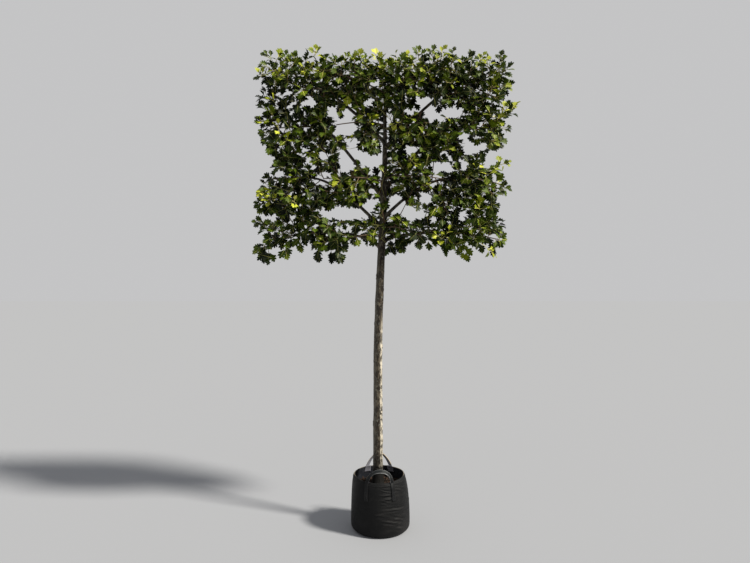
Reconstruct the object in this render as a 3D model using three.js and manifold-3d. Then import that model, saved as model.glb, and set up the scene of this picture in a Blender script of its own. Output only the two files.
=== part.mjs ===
// A pleached tree in a fabric grow bag: one clear stem carries a flat, clipped panel of lobed leaves.
// Millimetres, +Z up. The panel lies along X and its front looks to -Y. The origin is on the ground,
// under the middle of the bag.
import * as THREE from "three";
import { mergeVertices } from "three/addons/utils/BufferGeometryUtils.js";
import Module from "manifold-3d";

const wasm = await Module();
wasm.setup();

// Driving dimensions
const GAP = 0.3; // clearance between pieces that touch
const SLIVER = 0.05; // smallest step kept where solids are fused

const BAG_HEIGHT = 330; // at the back and sides
const BAG_RIM_DIP = 15; // how far the slack front of the rim hangs lower
const BAG_RIM_RADIUS = 159;
const BAG_LOW_RADIUS = 174; // of the wall without its swell, at the ground
const BAG_FOOT_RADIUS = 142; // flat underside
const BAG_CORNER = 34; // round between the underside and the wall
const BAG_CORNER_STEPS = 3;
const BAG_BULGE = 4; // how far the lower wall swells
const BAG_DRAW_IN = 2.5; // the higher, the closer to the rim the wall draws in
const BAG_WALL = 3;
const BAG_SEGMENTS = 32;

const HANDLE_ANGLE = (2.5 * 2 * Math.PI) / BAG_SEGMENTS; // from the middle to a leg, on a flat of the wall
const HANDLE_RISE = 74; // above the rim
const HANDLE_SEWN = 100; // length of a leg on the wall
const WEBBING_WIDTH = 22;
const WEBBING_THICK = 3;

const SOIL_LEVEL = 268;
const SOIL_EDGE = SOIL_LEVEL - 10; // where the soil meets the wall
const SOIL_CROWN = 90; // radius of the level part round the stem

const TRUNK_TOP = 2690;
const TRUNK_RADIUS_FOOT = 30;
const TRUNK_RADIUS_CROWN = 23.5; // where the clear stem ends
const TRUNK_RADIUS_TOP = 6;
const TRUNK_FLARE = 9; // extra radius of the root flare
const TRUNK_FLARE_HEIGHT = 70;
const TRUNK_FOOT_X = -15;
const TRUNK_LEAN = 42; // sideways shift of the upper half
const TRUNK_LEAN_FROM = 1000;
const TRUNK_LEAN_TO = 2350;
const TRUNK_BOW = 7; // fore and aft
const TRUNK_SIDES = 12;

const PANEL_LEFT = -775;
const PANEL_RIGHT = 830;
const PANEL_BOTTOM = 1585;
const PANEL_TOP = 2920;
const PANEL_DEPTH = 390;
const PANEL_MIDDLE = 20; // where the left and right masses meet, on the stem
const SPACE_MARGIN = 1.5; // what each mass keeps back from its own border

const STEM_RADIUS = 5.5;
const STEM_STEPS = 5;
const STEM_WANDER = 15; // how far a stem's end may lie from its mean depth
const STEM_END = [0.42, 0.55]; // where it ends, over the height of its space
const TWIG_PITCH = 46; // distance between side twigs along a stem
const TWIG_TURN = 2.4; // radians from one twig to the next, which leaves no side bare
const TWIG_SHIFTS = [0, 0.7, -0.7, 1.4]; // radians aside, tried where a twig doesn't fit
const TWIG_SHARES = [1, 0.7, 0.45]; // lengths tried, over the free run
const TWIG_SHORTEST = 30;
const TWIG_OUTWARD = 0.45; // how much a twig leans away from the trunk
const TWIG_ROOM = 4; // to the border of its space
const TWIG_LIMB_ROOM = 8; // to a limb's surface
const TWIG_RADIUS = 3.2;
const LEAF_LENGTH = 172; // larger than life: each leaf stands for a small spray
const LEAF_SIZES = [1, 0.85, 0.7, 0.55]; // tried in turn, over the full length
const LEAF_TURNS = [0, 0.8, -0.8]; // radians aside, tried at each size
const LEAF_SPREAD = 0.96; // width over length
const LEAF_THICK = 2.4;
const LEAF_PITCH = 32; // along a twig
const LEAF_FORWARD = 0.55; // how much a side leaf leans along its twig
const LEAF_DROOP = 0.15;
const LEAF_LIMB_ROOM = 3; // to a limb's surface
const TIP_ROOM = LEAF_LENGTH * 0.6; // kept free for the leaf at a twig's tip
const LEAVES_PER_TWIG = 9;
const LEAVES_PER_MASS = 26;
const INNER_STEM_DEPTH = -58; // the stems near the trunk run in front of the boughs
const FIRST_SEED = 140;

// The four tiers, from the lowest: the band of height that each fills, where its boughs and its inner
// stems leave the trunk on the left and the right, the height at which the boughs run out level, and
// how far their tips lie from the panel's middle.
const TIERS = [
  { name: "low", floor: PANEL_BOTTOM, ceiling: 1930, level: 1785, reach: 400 },
  { name: "lower_mid", floor: 1930, ceiling: 2275, level: 2120, reach: 470 },
  { name: "upper_mid", floor: 2275, ceiling: 2610, level: 2430, reach: 390 },
  { name: "top", floor: 2610, ceiling: PANEL_TOP, level: 2665, reach: 450 },
];
const BOUGH_FORKS = { left: [1690, 1810, 1985, 2330], right: [1720, 1870, 2040, 2300] };
const STEM_FORKS = { left: [1765, 2090, 2430, 2632], right: [1815, 2110, 2410, 2668] };
const BOUGH_RISE = 0.8; // radians above level where a bough leaves the stem
const BOUGH_RADIUS_FOOT = 10;
const BOUGH_RADIUS_TIP = 6;
const BOUGH_SIDES = 6;
const BOUGH_STEPS = 9;

// Openings that show daylight through the panel: middle and size, across and up.
const WINDOWS = [
  { x: -360, z: 2578, width: 220, height: 90 },
  { x: -235, z: 2495, width: 150, height: 100 },
  { x: -150, z: 2220, width: 260, height: 100 },
  { x: -200, z: 1908, width: 320, height: 85 },
  { x: 240, z: 2575, width: 130, height: 95 },
  { x: 370, z: 2500, width: 260, height: 70 },
  { x: 560, z: 2400, width: 170, height: 75 },
  { x: 380, z: 2190, width: 110, height: 90 },
  { x: 120, z: 1965, width: 140, height: 150 },
  { x: 270, z: 1913, width: 180, height: 65 },
];

const up = new THREE.Vector3(0, 0, 1);

// Repeatable random numbers from 0 to 1.
function makeRandom(seed) {
  let state = seed;
  return () => {
    state = (state + 0x6d2b79f5) | 0;
    let t = Math.imul(state ^ (state >>> 15), 1 | state);
    t = (t + Math.imul(t ^ (t >>> 7), 61 | t)) ^ t;
    return ((t ^ (t >>> 14)) >>> 0) / 4294967296;
  };
}

// Solids and meshes

function toSolid(geometry) {
  const bare = geometry.clone();
  bare.deleteAttribute("normal");
  bare.deleteAttribute("uv");
  const merged = mergeVertices(bare, 1e-3);
  return new wasm.Manifold(
    new wasm.Mesh({
      numProp: 3,
      vertProperties: new Float32Array(merged.getAttribute("position").array),
      triVerts: new Uint32Array(merged.index.array),
    }),
  );
}

// A fused solid's mesh. Where two of its sheets share a point, the second one's vertex is drawn in a
// hair along its own normal.
function toGeometry(solid) {
  const mesh = solid.getMesh();
  const positions = new THREE.BufferAttribute(mesh.vertProperties, 3);
  const geometry = new THREE.BufferGeometry().setAttribute("position", positions);
  geometry.setIndex(new THREE.BufferAttribute(mesh.triVerts, 1)).computeVertexNormals();
  const normals = geometry.getAttribute("normal");
  const point = new THREE.Vector3();
  const normal = new THREE.Vector3();
  const taken = new Set();
  for (let i = 0; i < positions.count; i++) {
    point.fromBufferAttribute(positions, i);
    const place = point.toArray().map((value) => value.toFixed(2)).join();
    if (taken.has(place)) {
      point.addScaledVector(normal.fromBufferAttribute(normals, i), -SLIVER);
      positions.setXYZ(i, point.x, point.y, point.z);
    }
    taken.add(place);
  }
  return geometry;
}

// The main body of a fused solid, without loose scraps and slivers and with any sealed hollow filled.
function mainBody(solid) {
  const bodies = solid.simplify(SLIVER).decompose();
  return bodies.reduce((a, b) => (b.volume() > a.volume() ? b : a));
}

function eachVertex(geometry, move) {
  const positions = geometry.getAttribute("position");
  const point = new THREE.Vector3();
  for (let i = 0; i < positions.count; i++) {
    point.fromBufferAttribute(positions, i);
    move(point);
    positions.setXYZ(i, point.x, point.y, point.z);
  }
  return geometry;
}

// A profile of [radius, height] points turned about Z.
function turned(profile, segments) {
  const points = profile.map(([radius, height]) => new THREE.Vector2(radius, height));
  return new THREE.LatheGeometry(points, segments).rotateX(Math.PI / 2);
}

// A tapering limb along a curve, as a cylinder whose rings are set square to the curve.
function limb(curve, radiusAt, sides, steps) {
  const frames = curve.computeFrenetFrames(steps);
  const geometry = new THREE.CylinderGeometry(1, 1, steps, sides, steps);
  return eachVertex(geometry, (p) => {
    const ring = Math.round(p.y + steps / 2);
    const along = ring / steps;
    const radius = radiusAt(along);
    const across = frames.normals[ring].clone().multiplyScalar(p.x * radius);
    const aside = frames.binormals[ring].clone().multiplyScalar(-p.z * radius);
    p.copy(curve.getPointAt(along)).add(across).add(aside);
  });
}

function taper(from, to) {
  return (along) => THREE.MathUtils.lerp(from, to, along);
}

// The grow bag

// The wall swells above the foot, then draws in towards the rim.
function bagRadius(height) {
  const share = height / BAG_HEIGHT;
  const swell = BAG_BULGE * Math.sin(Math.PI * Math.pow(share, 0.6));
  const straight = THREE.MathUtils.lerp(BAG_LOW_RADIUS, BAG_RIM_RADIUS, Math.pow(share, BAG_DRAW_IN));
  return straight + swell;
}

// Wall points from the underside up to the soil's edge or the rim, each moved in by an inset.
function bagSide(inset, foot, top) {
  const points = [[0, foot]];
  for (let i = 0; i <= BAG_CORNER_STEPS; i++) {
    const angle = (i / BAG_CORNER_STEPS) * (Math.PI / 2);
    const height = BAG_CORNER * (1 - Math.cos(angle));
    const reach = bagRadius(BAG_CORNER) - BAG_FOOT_RADIUS;
    const radius = BAG_FOOT_RADIUS + reach * Math.sin(angle);
    points.push([radius - inset * Math.sin(angle), height + inset * Math.cos(angle)]);
  }
  const stretches = [
    [BAG_CORNER, SOIL_EDGE, 4],
    [SOIL_EDGE, BAG_HEIGHT, 2],
  ];
  for (const [low, high, steps] of stretches) {
    for (let i = 1; i <= steps && high <= top; i++) {
      const height = THREE.MathUtils.lerp(low, high, i / steps);
      points.push([bagRadius(height) - inset, height]);
    }
  }
  return points;
}

// The rim hangs lower at the front, and the drop fades out down the wall.
function rimDrop(y, height) {
  const front = Math.max(0, -y / BAG_RIM_RADIUS);
  const share = Math.max(0, height / BAG_HEIGHT);
  return BAG_RIM_DIP * front * front * Math.pow(share, 4);
}

function sagRim(point) {
  point.z -= rimDrop(point.y, point.z);
}

function bagGeometry() {
  const outer = bagSide(0, 0, BAG_HEIGHT);
  const inner = bagSide(BAG_WALL, BAG_WALL, BAG_HEIGHT).reverse();
  return eachVertex(turned([...outer, ...inner], BAG_SEGMENTS), sagRim);
}

// Potting soil, level under the stem and a little lower towards the wall.
function soilGeometry() {
  const inset = BAG_WALL + GAP;
  const side = bagSide(inset, inset, SOIL_EDGE);
  const geometry = turned([...side, [SOIL_CROWN, SOIL_LEVEL], [0, SOIL_LEVEL]], BAG_SEGMENTS);
  return eachVertex(geometry, (p) => {
    if (p.z <= SOIL_EDGE) sagRim(p);
  });
}

// A carrying loop of flat webbing at the front: two legs sewn to the wall and an arch over the rim.
function handleGeometry(rim) {
  const half = HANDLE_ANGLE * BAG_LOW_RADIUS;
  const legSteps = 6;
  const archSteps = 16;
  const middles = [];
  for (let i = 0; i < legSteps; i++) {
    middles.push([-half, rim - HANDLE_SEWN * (1 - i / legSteps)]);
  }
  for (let i = 0; i <= archSteps; i++) {
    const angle = Math.PI * (1 - i / archSteps);
    middles.push([half * Math.cos(angle), rim + HANDLE_RISE * Math.sin(angle)]);
  }
  for (let i = legSteps - 1; i >= 0; i--) {
    middles.push([half, rim - HANDLE_SEWN * (1 - i / legSteps)]);
  }
  // A straight band first: each of its rings goes to its place on the middle line, turned square to it,
  // and is wrapped round the wall, which hangs slack under a low rim.
  const steps = middles.length - 1;
  const slack = rim < BAG_HEIGHT;
  const flatness = Math.cos(Math.PI / BAG_SEGMENTS) / Math.cos(WEBBING_WIDTH / 2 / BAG_LOW_RADIUS);
  const band = new THREE.BoxGeometry(WEBBING_WIDTH, steps, WEBBING_THICK, 1, steps, 1);
  return eachVertex(band, (p) => {
    const ring = Math.round(p.y + steps / 2);
    const before = middles[Math.max(0, ring - 1)];
    const after = middles[Math.min(steps, ring + 1)];
    const along = new THREE.Vector2(after[0] - before[0], after[1] - before[1]).normalize();
    const angle = (middles[ring][0] + along.y * p.x) / BAG_LOW_RADIUS;
    const z = middles[ring][1] - along.x * p.x;
    const height = Math.min(z, rim);
    const drop = slack ? rimDrop(-bagRadius(height) * Math.cos(angle), height) : 0;
    const lift = GAP + WEBBING_THICK / 2 + p.z;
    const radius = bagRadius(height + drop) * flatness + lift;
    p.set(radius * Math.sin(angle), -radius * Math.cos(angle), z);
  });
}

// The stem

function trunkCentre(height) {
  const lean = THREE.MathUtils.smoothstep(height, TRUNK_LEAN_FROM, TRUNK_LEAN_TO);
  const bow = Math.sin((height / TRUNK_TOP) * Math.PI * 2);
  return new THREE.Vector3(TRUNK_FOOT_X + TRUNK_LEAN * lean, TRUNK_BOW * bow, height);
}

function trunkRadius(height) {
  const clear = THREE.MathUtils.clamp((height - SOIL_LEVEL) / (PANEL_BOTTOM - SOIL_LEVEL), 0, 1);
  const crown = THREE.MathUtils.clamp((height - PANEL_BOTTOM) / (TRUNK_TOP - PANEL_BOTTOM), 0, 1);
  const plain =
    crown > 0
      ? THREE.MathUtils.lerp(TRUNK_RADIUS_CROWN, TRUNK_RADIUS_TOP, Math.pow(crown, 1.3))
      : THREE.MathUtils.lerp(TRUNK_RADIUS_FOOT, TRUNK_RADIUS_CROWN, clear);
  return plain + TRUNK_FLARE * Math.exp((SOIL_LEVEL - height) / (TRUNK_FLARE_HEIGHT / 2));
}

function trunkGeometry(extra = 0) {
  const foot = SOIL_LEVEL + GAP - extra;
  const heights = [0, 12, 28, 50, 80].map((step) => foot + step);
  const steps = 18;
  for (let i = 1; i <= steps; i++) {
    heights.push(THREE.MathUtils.lerp(foot + 80, TRUNK_TOP + extra, i / steps));
  }
  const wall = heights.map((height) => [trunkRadius(height) + extra, height]);
  const profile = [[0, foot], ...wall, [0, TRUNK_TOP + extra]];
  return eachVertex(turned(profile, TRUNK_SIDES), (p) => {
    const centre = trunkCentre(p.z);
    p.x += centre.x;
    p.y += centre.y;
  });
}

// Boughs

function boughCurve(tier, fork, out) {
  const foot = trunkCentre(fork);
  const rise = tier.level - fork;
  const tip = new THREE.Vector3(PANEL_MIDDLE + out * tier.reach, 0, tier.level);
  const run = Math.min(rise / Math.tan(BOUGH_RISE), tier.reach * 0.85);
  const elbow = new THREE.Vector3(foot.x + out * run, foot.y, tier.level);
  const toElbow = new THREE.Vector3().lerpVectors(foot, elbow, 0.8);
  const fromElbow = new THREE.Vector3().lerpVectors(elbow, tip, 0.3);
  return new THREE.CubicBezierCurve3(foot, toElbow, fromElbow, tip);
}

// Foliage

// A three-lobed leaf on a wedge-shaped base, folded a little along its midrib: outline across and along.
const LEAF_OUTLINE = [
  [0, 0],
  [0.5, 0.56],
  [0.21, 0.64],
  [0, 1],
  [-0.21, 0.64],
  [-0.5, 0.56],
];
const LEAF_MIDDLE = [0, 0.5];
const LEAF_FOLD = 0.22; // how far the lobes rise above the midrib, over their distance from it

function leafPoints({ root, along, face, length }) {
  const across = new THREE.Vector3().crossVectors(along, face);
  const place = ([u, v], lift) =>
    root
      .clone()
      .addScaledVector(along, v * length)
      .addScaledVector(across, u * length * LEAF_SPREAD)
      .addScaledVector(face, Math.abs(u) * length * LEAF_FOLD + lift);
  return {
    outline: LEAF_OUTLINE.map((point) => place(point, 0)),
    middle: place(LEAF_MIDDLE, LEAF_THICK / 2),
    underside: place(LEAF_MIDDLE, -LEAF_THICK / 2),
  };
}

function leafGeometry({ outline, middle, underside }) {
  const count = outline.length;
  const index = [];
  for (let i = 0; i < count; i++) {
    const next = (i + 1) % count;
    index.push(i, next, count);
    index.push(next, i, count + 1);
  }
  const geometry = new THREE.BufferGeometry().setFromPoints([...outline, middle, underside]);
  return geometry.setIndex(index);
}

// Whether a point, with some room round it, lies inside a mass's own space.
function inSpace(space, point, room = 0) {
  return space.clone().expandByScalar(-SPACE_MARGIN - room).containsPoint(point);
}

function inWindow(point) {
  return WINDOWS.some(
    (w) => Math.abs(point.x - w.x) < w.width / 2 && Math.abs(point.z - w.z) < w.height / 2,
  );
}

// Whether a leaf's blade comes within reach of a limb, from points along the limb's middle line.
function touchesLimb({ outline, middle }, limbs) {
  const nearest = new THREE.Vector3();
  return limbs.some(({ centre, radius }) => {
    if (centre.distanceTo(middle) > LEAF_LENGTH + radius) return false;
    return outline.some((corner, i) => {
      const blade = new THREE.Triangle(corner, outline[(i + 1) % outline.length], middle);
      return blade.closestPointToPoint(centre, nearest).distanceTo(centre) < radius + LEAF_LIMB_ROOM;
    });
  });
}

function clearOfLimbs(point, limbs) {
  return limbs.every(({ centre, radius }) => centre.distanceTo(point) > radius + TWIG_LIMB_ROOM);
}

// Whether the straight line between two points passes through a leaf's blade.
function pierces(from, to, { outline, middle }) {
  const ray = new THREE.Ray(from, to.clone().sub(from).normalize());
  const length = from.distanceTo(to);
  const hit = new THREE.Vector3();
  return outline.some((corner, i) => {
    const next = outline[(i + 1) % outline.length];
    return ray.intersectTriangle(corner, next, middle, false, hit) && hit.distanceTo(from) < length;
  });
}

function leavesCross(one, other) {
  if (one.middle.distanceTo(other.middle) > LEAF_LENGTH * 1.2) return false;
  const edgesPierce = ({ outline, middle }, blade) =>
    outline.some((corner, i) => {
      const next = outline[(i + 1) % outline.length];
      return pierces(corner, next, blade) || pierces(corner, middle, blade);
    });
  return edgesPierce(one, other) || edgesPierce(other, one);
}

function twigPierces(twig, leaf) {
  const points = twig.getPoints(STEM_STEPS);
  return points.slice(1).some((point, i) => pierces(points[i], point, leaf));
}

// How far a straight line runs inside a box before it leaves it.
function runInside(box, from, heading) {
  const ray = new THREE.Ray(from, heading);
  const exit = new THREE.Vector3();
  const far = new THREE.Ray(ray.at(5000, new THREE.Vector3()), heading.clone().negate());
  return far.intersectBox(box, exit) ? exit.distanceTo(from) : 0;
}

function between(random, low, high) {
  return THREE.MathUtils.lerp(low, high, random());
}

// One mass: a stem runs out through its space, and side twigs leave it turn by turn on all sides. Leaves
// stand at the tips, then one by one further in, to either side of each twig in turn.
function growMass({ space, start, heading, depth, limbs, seed }) {
  const random = makeRandom(seed);
  const out = Math.sign(heading.x);
  const end = new THREE.Vector3(
    out > 0 ? space.max.x - TIP_ROOM : space.min.x + TIP_ROOM,
    depth + between(random, -STEM_WANDER, STEM_WANDER),
    THREE.MathUtils.lerp(space.min.z, space.max.z, between(random, ...STEM_END)),
  );
  const reach = start.distanceTo(end);
  const bend = start.clone().addScaledVector(heading, reach * 0.4);
  const stem = new THREE.QuadraticBezierCurve3(start, bend, end);

  // A straight side twig, turned or shortened until it keeps to the space and off the limbs.
  function sideTwig(root, angle) {
    for (const shift of TWIG_SHIFTS) {
      const turnedTo = angle + shift;
      const direction = new THREE.Vector3(out * TWIG_OUTWARD, Math.sin(turnedTo), Math.cos(turnedTo));
      direction.normalize();
      const room = runInside(space, root, direction) - TIP_ROOM;
      for (const share of TWIG_SHARES) {
        const length = Math.max(TWIG_SHORTEST, room * share * between(random, 0.85, 1));
        const twig = new THREE.LineCurve3(root, root.clone().addScaledVector(direction, length));
        const samples = twig.getPoints(Math.ceil(length / TWIG_LIMB_ROOM)).slice(1);
        const free = samples.every((p) => inSpace(space, p, TWIG_ROOM) && clearOfLimbs(p, limbs));
        if (free) return twig;
      }
    }
    return null;
  }

  const twigs = [stem];
  const count = Math.floor(reach / TWIG_PITCH);
  for (let i = 0; i < count; i++) {
    const root = stem.getPointAt((i + 0.7) / count);
    const twig = sideTwig(root, TWIG_TURN * i + between(random, -0.4, 0.4));
    if (twig) twigs.push(twig);
  }

  // Whether a leaf keeps to the space, out of the windows, and off limbs, twigs and other leaves.
  const leaves = [];
  function fits(leaf, ownTwig) {
    const free = leaf.outline.slice(1).every((p) => inSpace(space, p) && !inWindow(p));
    return (
      free &&
      !touchesLimb(leaf, limbs) &&
      !leaves.some((other) => leavesCross(leaf, other)) &&
      !twigs.some((twig) => twig !== ownTwig && twigPierces(twig, leaf))
    );
  }

  // The largest leaf that fits at one place on a twig. It turns its face outwards, to the front or
  // the back of the panel, and to the sky.
  function addLeaf(twig, step) {
    const share = step ? 1 - (step * LEAF_PITCH) / twig.getLength() : 0.97;
    if (share < 0.15 || leaves.length >= LEAVES_PER_MASS) return;
    const root = twig.getPointAt(share);
    const along = twig.getTangentAt(share);
    const outward = Math.sign(root.y - depth) || 1;
    const face = new THREE.Vector3(between(random, -0.5, 0.5), outward * between(random, 0.8, 1.4), 0.6);
    if (step) {
      const aside = new THREE.Vector3().crossVectors(along, face).normalize();
      along.multiplyScalar(LEAF_FORWARD).addScaledVector(aside, step % 2 ? 1 : -1);
      along.addScaledVector(up, -LEAF_DROOP).normalize();
    }
    face.addScaledVector(along, -face.dot(along)).normalize();
    for (const size of LEAF_SIZES) {
      for (const turn of LEAF_TURNS) {
        const turnedAlong = along.clone().applyAxisAngle(face, turn);
        const leaf = leafPoints({ root, along: turnedAlong, face, length: LEAF_LENGTH * size });
        if (!fits(leaf, twig)) continue;
        leaves.push(leaf);
        return;
      }
    }
  }

  for (let step = 0; step < LEAVES_PER_TWIG; step++) {
    for (const twig of twigs) addLeaf(twig, step);
  }

  const wood = twigs.map((twig) =>
    twig === stem
      ? limb(twig, taper(STEM_RADIUS, TWIG_RADIUS), 3, STEM_STEPS)
      : limb(twig, taper(TWIG_RADIUS, TWIG_RADIUS * 0.6), 3, 1),
  );
  return wasm.Manifold.union([...wood, ...leaves.map(leafGeometry)].map(toSolid));
}

// Assembly

const finish = {
  bag: { color: 0x1b1c1e, roughness: 0.75, metalness: 0 },
  webbing: { color: 0x232426, roughness: 0.6, metalness: 0 },
  soil: { color: 0x3a2a1d, roughness: 0.95, metalness: 0 },
  bark: { color: 0x6e6253, roughness: 0.9, metalness: 0 },
  foliage: { color: 0x33491c, roughness: 0.45, metalness: 0 },
};

function named(name, geometry, look) {
  const mesh = new THREE.Mesh(geometry, new THREE.MeshStandardMaterial(finish[look]));
  mesh.name = name;
  return mesh;
}

function container() {
  const group = new THREE.Group();
  group.add(named("grow_bag", bagGeometry(), "bag"));
  group.add(named("potting_soil", soilGeometry(), "soil"));
  group.add(named("handle_front", handleGeometry(BAG_HEIGHT - BAG_RIM_DIP), "webbing"));
  const back = named("handle_back", handleGeometry(BAG_HEIGHT), "webbing");
  back.rotation.z = Math.PI;
  group.add(back);
  return group;
}

// Points along a limb's middle line with its radius there, for keeping leaves off it.
function limbPoints(curve, radiusAt, length) {
  const steps = Math.ceil(length / 8);
  return Array.from({ length: steps + 1 }, (_, i) => ({
    centre: curve(i / steps),
    radius: radiusAt(i / steps),
  }));
}

// Where a mass's stem begins and heads: on from a bough's tip, or out of the trunk and past the
// front of the boughs.
function boughStem(curve) {
  const heading = curve.getTangentAt(1);
  return { start: curve.getPointAt(1).addScaledVector(heading, GAP), heading, depth: 0 };
}

function trunkStem(fork, out) {
  const start = trunkCentre(fork);
  const heading = new THREE.Vector3(out * 0.75, -0.8, 0.2).normalize();
  return { start, heading, depth: INNER_STEM_DEPTH };
}

function tree() {
  const group = new THREE.Group();
  group.add(named("trunk", trunkGeometry(), "bark"));
  const trunkClear = toSolid(trunkGeometry(GAP));
  const heightAt = (along) => THREE.MathUtils.lerp(SOIL_LEVEL, TRUNK_TOP, along);
  const limbs = limbPoints(
    (along) => trunkCentre(heightAt(along)),
    (along) => trunkRadius(heightAt(along)),
    TRUNK_TOP - SOIL_LEVEL,
  );

  const sides = { left: -1, right: 1 };
  const boughs = [];
  TIERS.forEach((tier, level) => {
    for (const [side, out] of Object.entries(sides)) {
      const curve = boughCurve(tier, BOUGH_FORKS[side][level], out);
      const radiusAt = taper(BOUGH_RADIUS_FOOT, BOUGH_RADIUS_TIP);
      const solid = toSolid(limb(curve, radiusAt, BOUGH_SIDES, BOUGH_STEPS));
      const cut = mainBody(solid.subtract(trunkClear));
      group.add(named(`bough_${side}_${tier.name}`, toGeometry(cut), "bark"));
      limbs.push(...limbPoints((along) => curve.getPointAt(along), radiusAt, curve.getLength()));
      boughs.push({ tier, side, out, curve, stemFork: STEM_FORKS[side][level] });
    }
  });

  boughs.forEach(({ tier, side, out, curve, stemFork }, i) => {
    const half = PANEL_DEPTH / 2;
    const edge = out > 0 ? PANEL_RIGHT : PANEL_LEFT;
    const parting = PANEL_MIDDLE + out * (tier.reach - 2);
    const spaces = { inner: [PANEL_MIDDLE, parting], outer: [parting, edge] };
    for (const [part, ends] of Object.entries(spaces)) {
      const space = new THREE.Box3(
        new THREE.Vector3(Math.min(...ends), -half, tier.floor),
        new THREE.Vector3(Math.max(...ends), half, tier.ceiling),
      );
      const stem = part === "outer" ? boughStem(curve) : trunkStem(stemFork, out);
      const seed = FIRST_SEED + i * 2 + (part === "outer" ? 1 : 0);
      const mass = growMass({ space, ...stem, limbs, seed });
      const solid = mainBody(mass.subtract(trunkClear));
      group.add(named(`foliage_${side}_${tier.name}_${part}`, toGeometry(solid), "foliage"));
    }
  });
  return group;
}

const part = new THREE.Group();
part.add(container(), tree());

export default part;
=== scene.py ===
# %% [markdown]
# # A pleached tree in a grow bag
# A pleached tree is trained flat. One clear stem carries tiers of boughs, and its leaves are clipped to
# a panel. This lesson dresses the solid model of such a tree: the solids give the sizes and stay where
# they are, and each step puts a finer piece in the place of some of them, first the sewn bag, then the
# bark, then twigs and leaves that grow by a rule. Everything is in metres, +Z is up, and the panel's
# front looks to -Y.

# %% Load the solids
import functools
import math

import bpy
import numpy as np
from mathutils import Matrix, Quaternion, Vector, noise


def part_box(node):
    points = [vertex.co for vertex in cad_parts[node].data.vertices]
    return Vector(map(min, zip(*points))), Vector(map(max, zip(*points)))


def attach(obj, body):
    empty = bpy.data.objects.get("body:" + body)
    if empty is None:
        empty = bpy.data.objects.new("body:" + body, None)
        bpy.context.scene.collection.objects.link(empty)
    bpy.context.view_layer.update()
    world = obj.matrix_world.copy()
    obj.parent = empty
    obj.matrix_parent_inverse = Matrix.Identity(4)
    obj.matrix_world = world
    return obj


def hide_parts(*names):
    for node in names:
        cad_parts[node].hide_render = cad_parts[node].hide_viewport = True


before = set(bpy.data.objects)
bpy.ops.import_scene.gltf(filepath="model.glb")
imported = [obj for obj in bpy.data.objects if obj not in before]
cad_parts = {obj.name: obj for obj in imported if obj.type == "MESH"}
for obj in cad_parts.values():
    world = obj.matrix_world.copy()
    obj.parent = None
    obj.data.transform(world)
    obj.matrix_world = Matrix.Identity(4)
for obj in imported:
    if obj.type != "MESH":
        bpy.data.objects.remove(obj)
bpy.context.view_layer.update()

scene = bpy.context.scene

# %% [markdown]
# ## Camera
# The picture was taken level, from about shoulder height and close by: uprights stay upright, the bag
# is seen from above and the crown from below. So the camera isn't tilted or shifted. Its lens follows
# from two measures: how many pixels one metre takes up at the plant, and how far away the camera
# stands.

# %% Camera at the photograph's angle
PHOTO_WIDTH = 750  # pixels
PIXELS_PER_METRE = 164.9  # at the plant
EYE = Vector((-0.033, -3.5, 1.49))


def make_camera():
    data = bpy.data.cameras.new("camera")
    data.lens = PIXELS_PER_METRE * -EYE.y / PHOTO_WIDTH * data.sensor_width
    camera = bpy.data.objects.new("camera", data)
    camera.location = EYE
    camera.rotation_euler = (math.pi / 2, 0, 0)
    scene.collection.objects.link(camera)
    scene.camera = camera
    return camera


print("lens:", round(make_camera().data.lens, 1), "mm")

# %% [markdown]
# ## Light and floor
# One sun, halfway up the sky on the right, rakes along the panel, so the right edge and the top catch
# it and the depth of the crown stays dark. A wide sun disc keeps its shadows soft. A pale sky fills the
# rest. The floor's colour is chosen so that the sunlit floor is as bright as that sky, and the horizon
# hardly shows. The plain "Standard" view keeps the greens and the black cloth as they are mixed.

# %% Sun, sky and floor
SUN_HEIGHT = math.radians(43)
SUN_TURN = math.radians(24)  # from the panel's right edge towards its front
SUN_STRENGTH = 7.0
SUN_WIDTH = math.radians(8)
SUN_COLOUR = (1.0, 0.95, 0.86)
SKY = (0.99, 0.99, 1.0)
SKY_STRENGTH = 0.56
FLOOR = (0.266, 0.275, 0.293, 1.0)
FLOOR_SIDE = 80.0
scene.view_settings.view_transform = "Standard"


def make_sun():
    towards = Vector((math.cos(SUN_TURN), -math.sin(SUN_TURN), math.tan(SUN_HEIGHT)))
    data = bpy.data.lights.new("sun", "SUN")
    data.energy = SUN_STRENGTH
    data.angle = SUN_WIDTH
    data.color = SUN_COLOUR
    sun = bpy.data.objects.new("sun", data)
    sun.rotation_euler = (-towards).to_track_quat("-Z", "Y").to_euler()
    scene.collection.objects.link(sun)
    return towards.normalized()


def make_sky():
    world = bpy.data.worlds.new("sky")
    world.use_nodes = True
    background = world.node_tree.nodes["Background"]
    background.inputs["Color"].default_value = (*SKY, 1.0)
    background.inputs["Strength"].default_value = SKY_STRENGTH
    scene.world = world


def make_floor():
    half = FLOOR_SIDE / 2
    mesh = bpy.data.meshes.new("floor")
    corners = [(-half, -half, 0), (half, -half, 0), (half, half, 0), (-half, half, 0)]
    mesh.from_pydata(corners, [], [(0, 1, 2, 3)])
    paint = bpy.data.materials.new("floor")
    paint.use_nodes = True
    shader = paint.node_tree.nodes["Principled BSDF"]
    shader.inputs["Base Color"].default_value = FLOOR
    shader.inputs["Specular IOR Level"].default_value = 0.0
    mesh.materials.append(paint)
    floor = bpy.data.objects.new("floor", mesh)
    scene.collection.objects.link(floor)


TO_SUN = make_sun()
make_sky()
make_floor()
print("the sun stands towards", [round(x, 2) for x in TO_SUN])

# %% [markdown]
# ## Shader maths
# A finish such as bark is a sum of patterns. Wiring Math nodes by hand hides that sum, so a small class
# wraps a socket and lets Python's operators add the nodes: `1 - mask` then reads as what it is. Any
# other node comes from one method, which sets the node's own settings first and its sockets after that.

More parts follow.
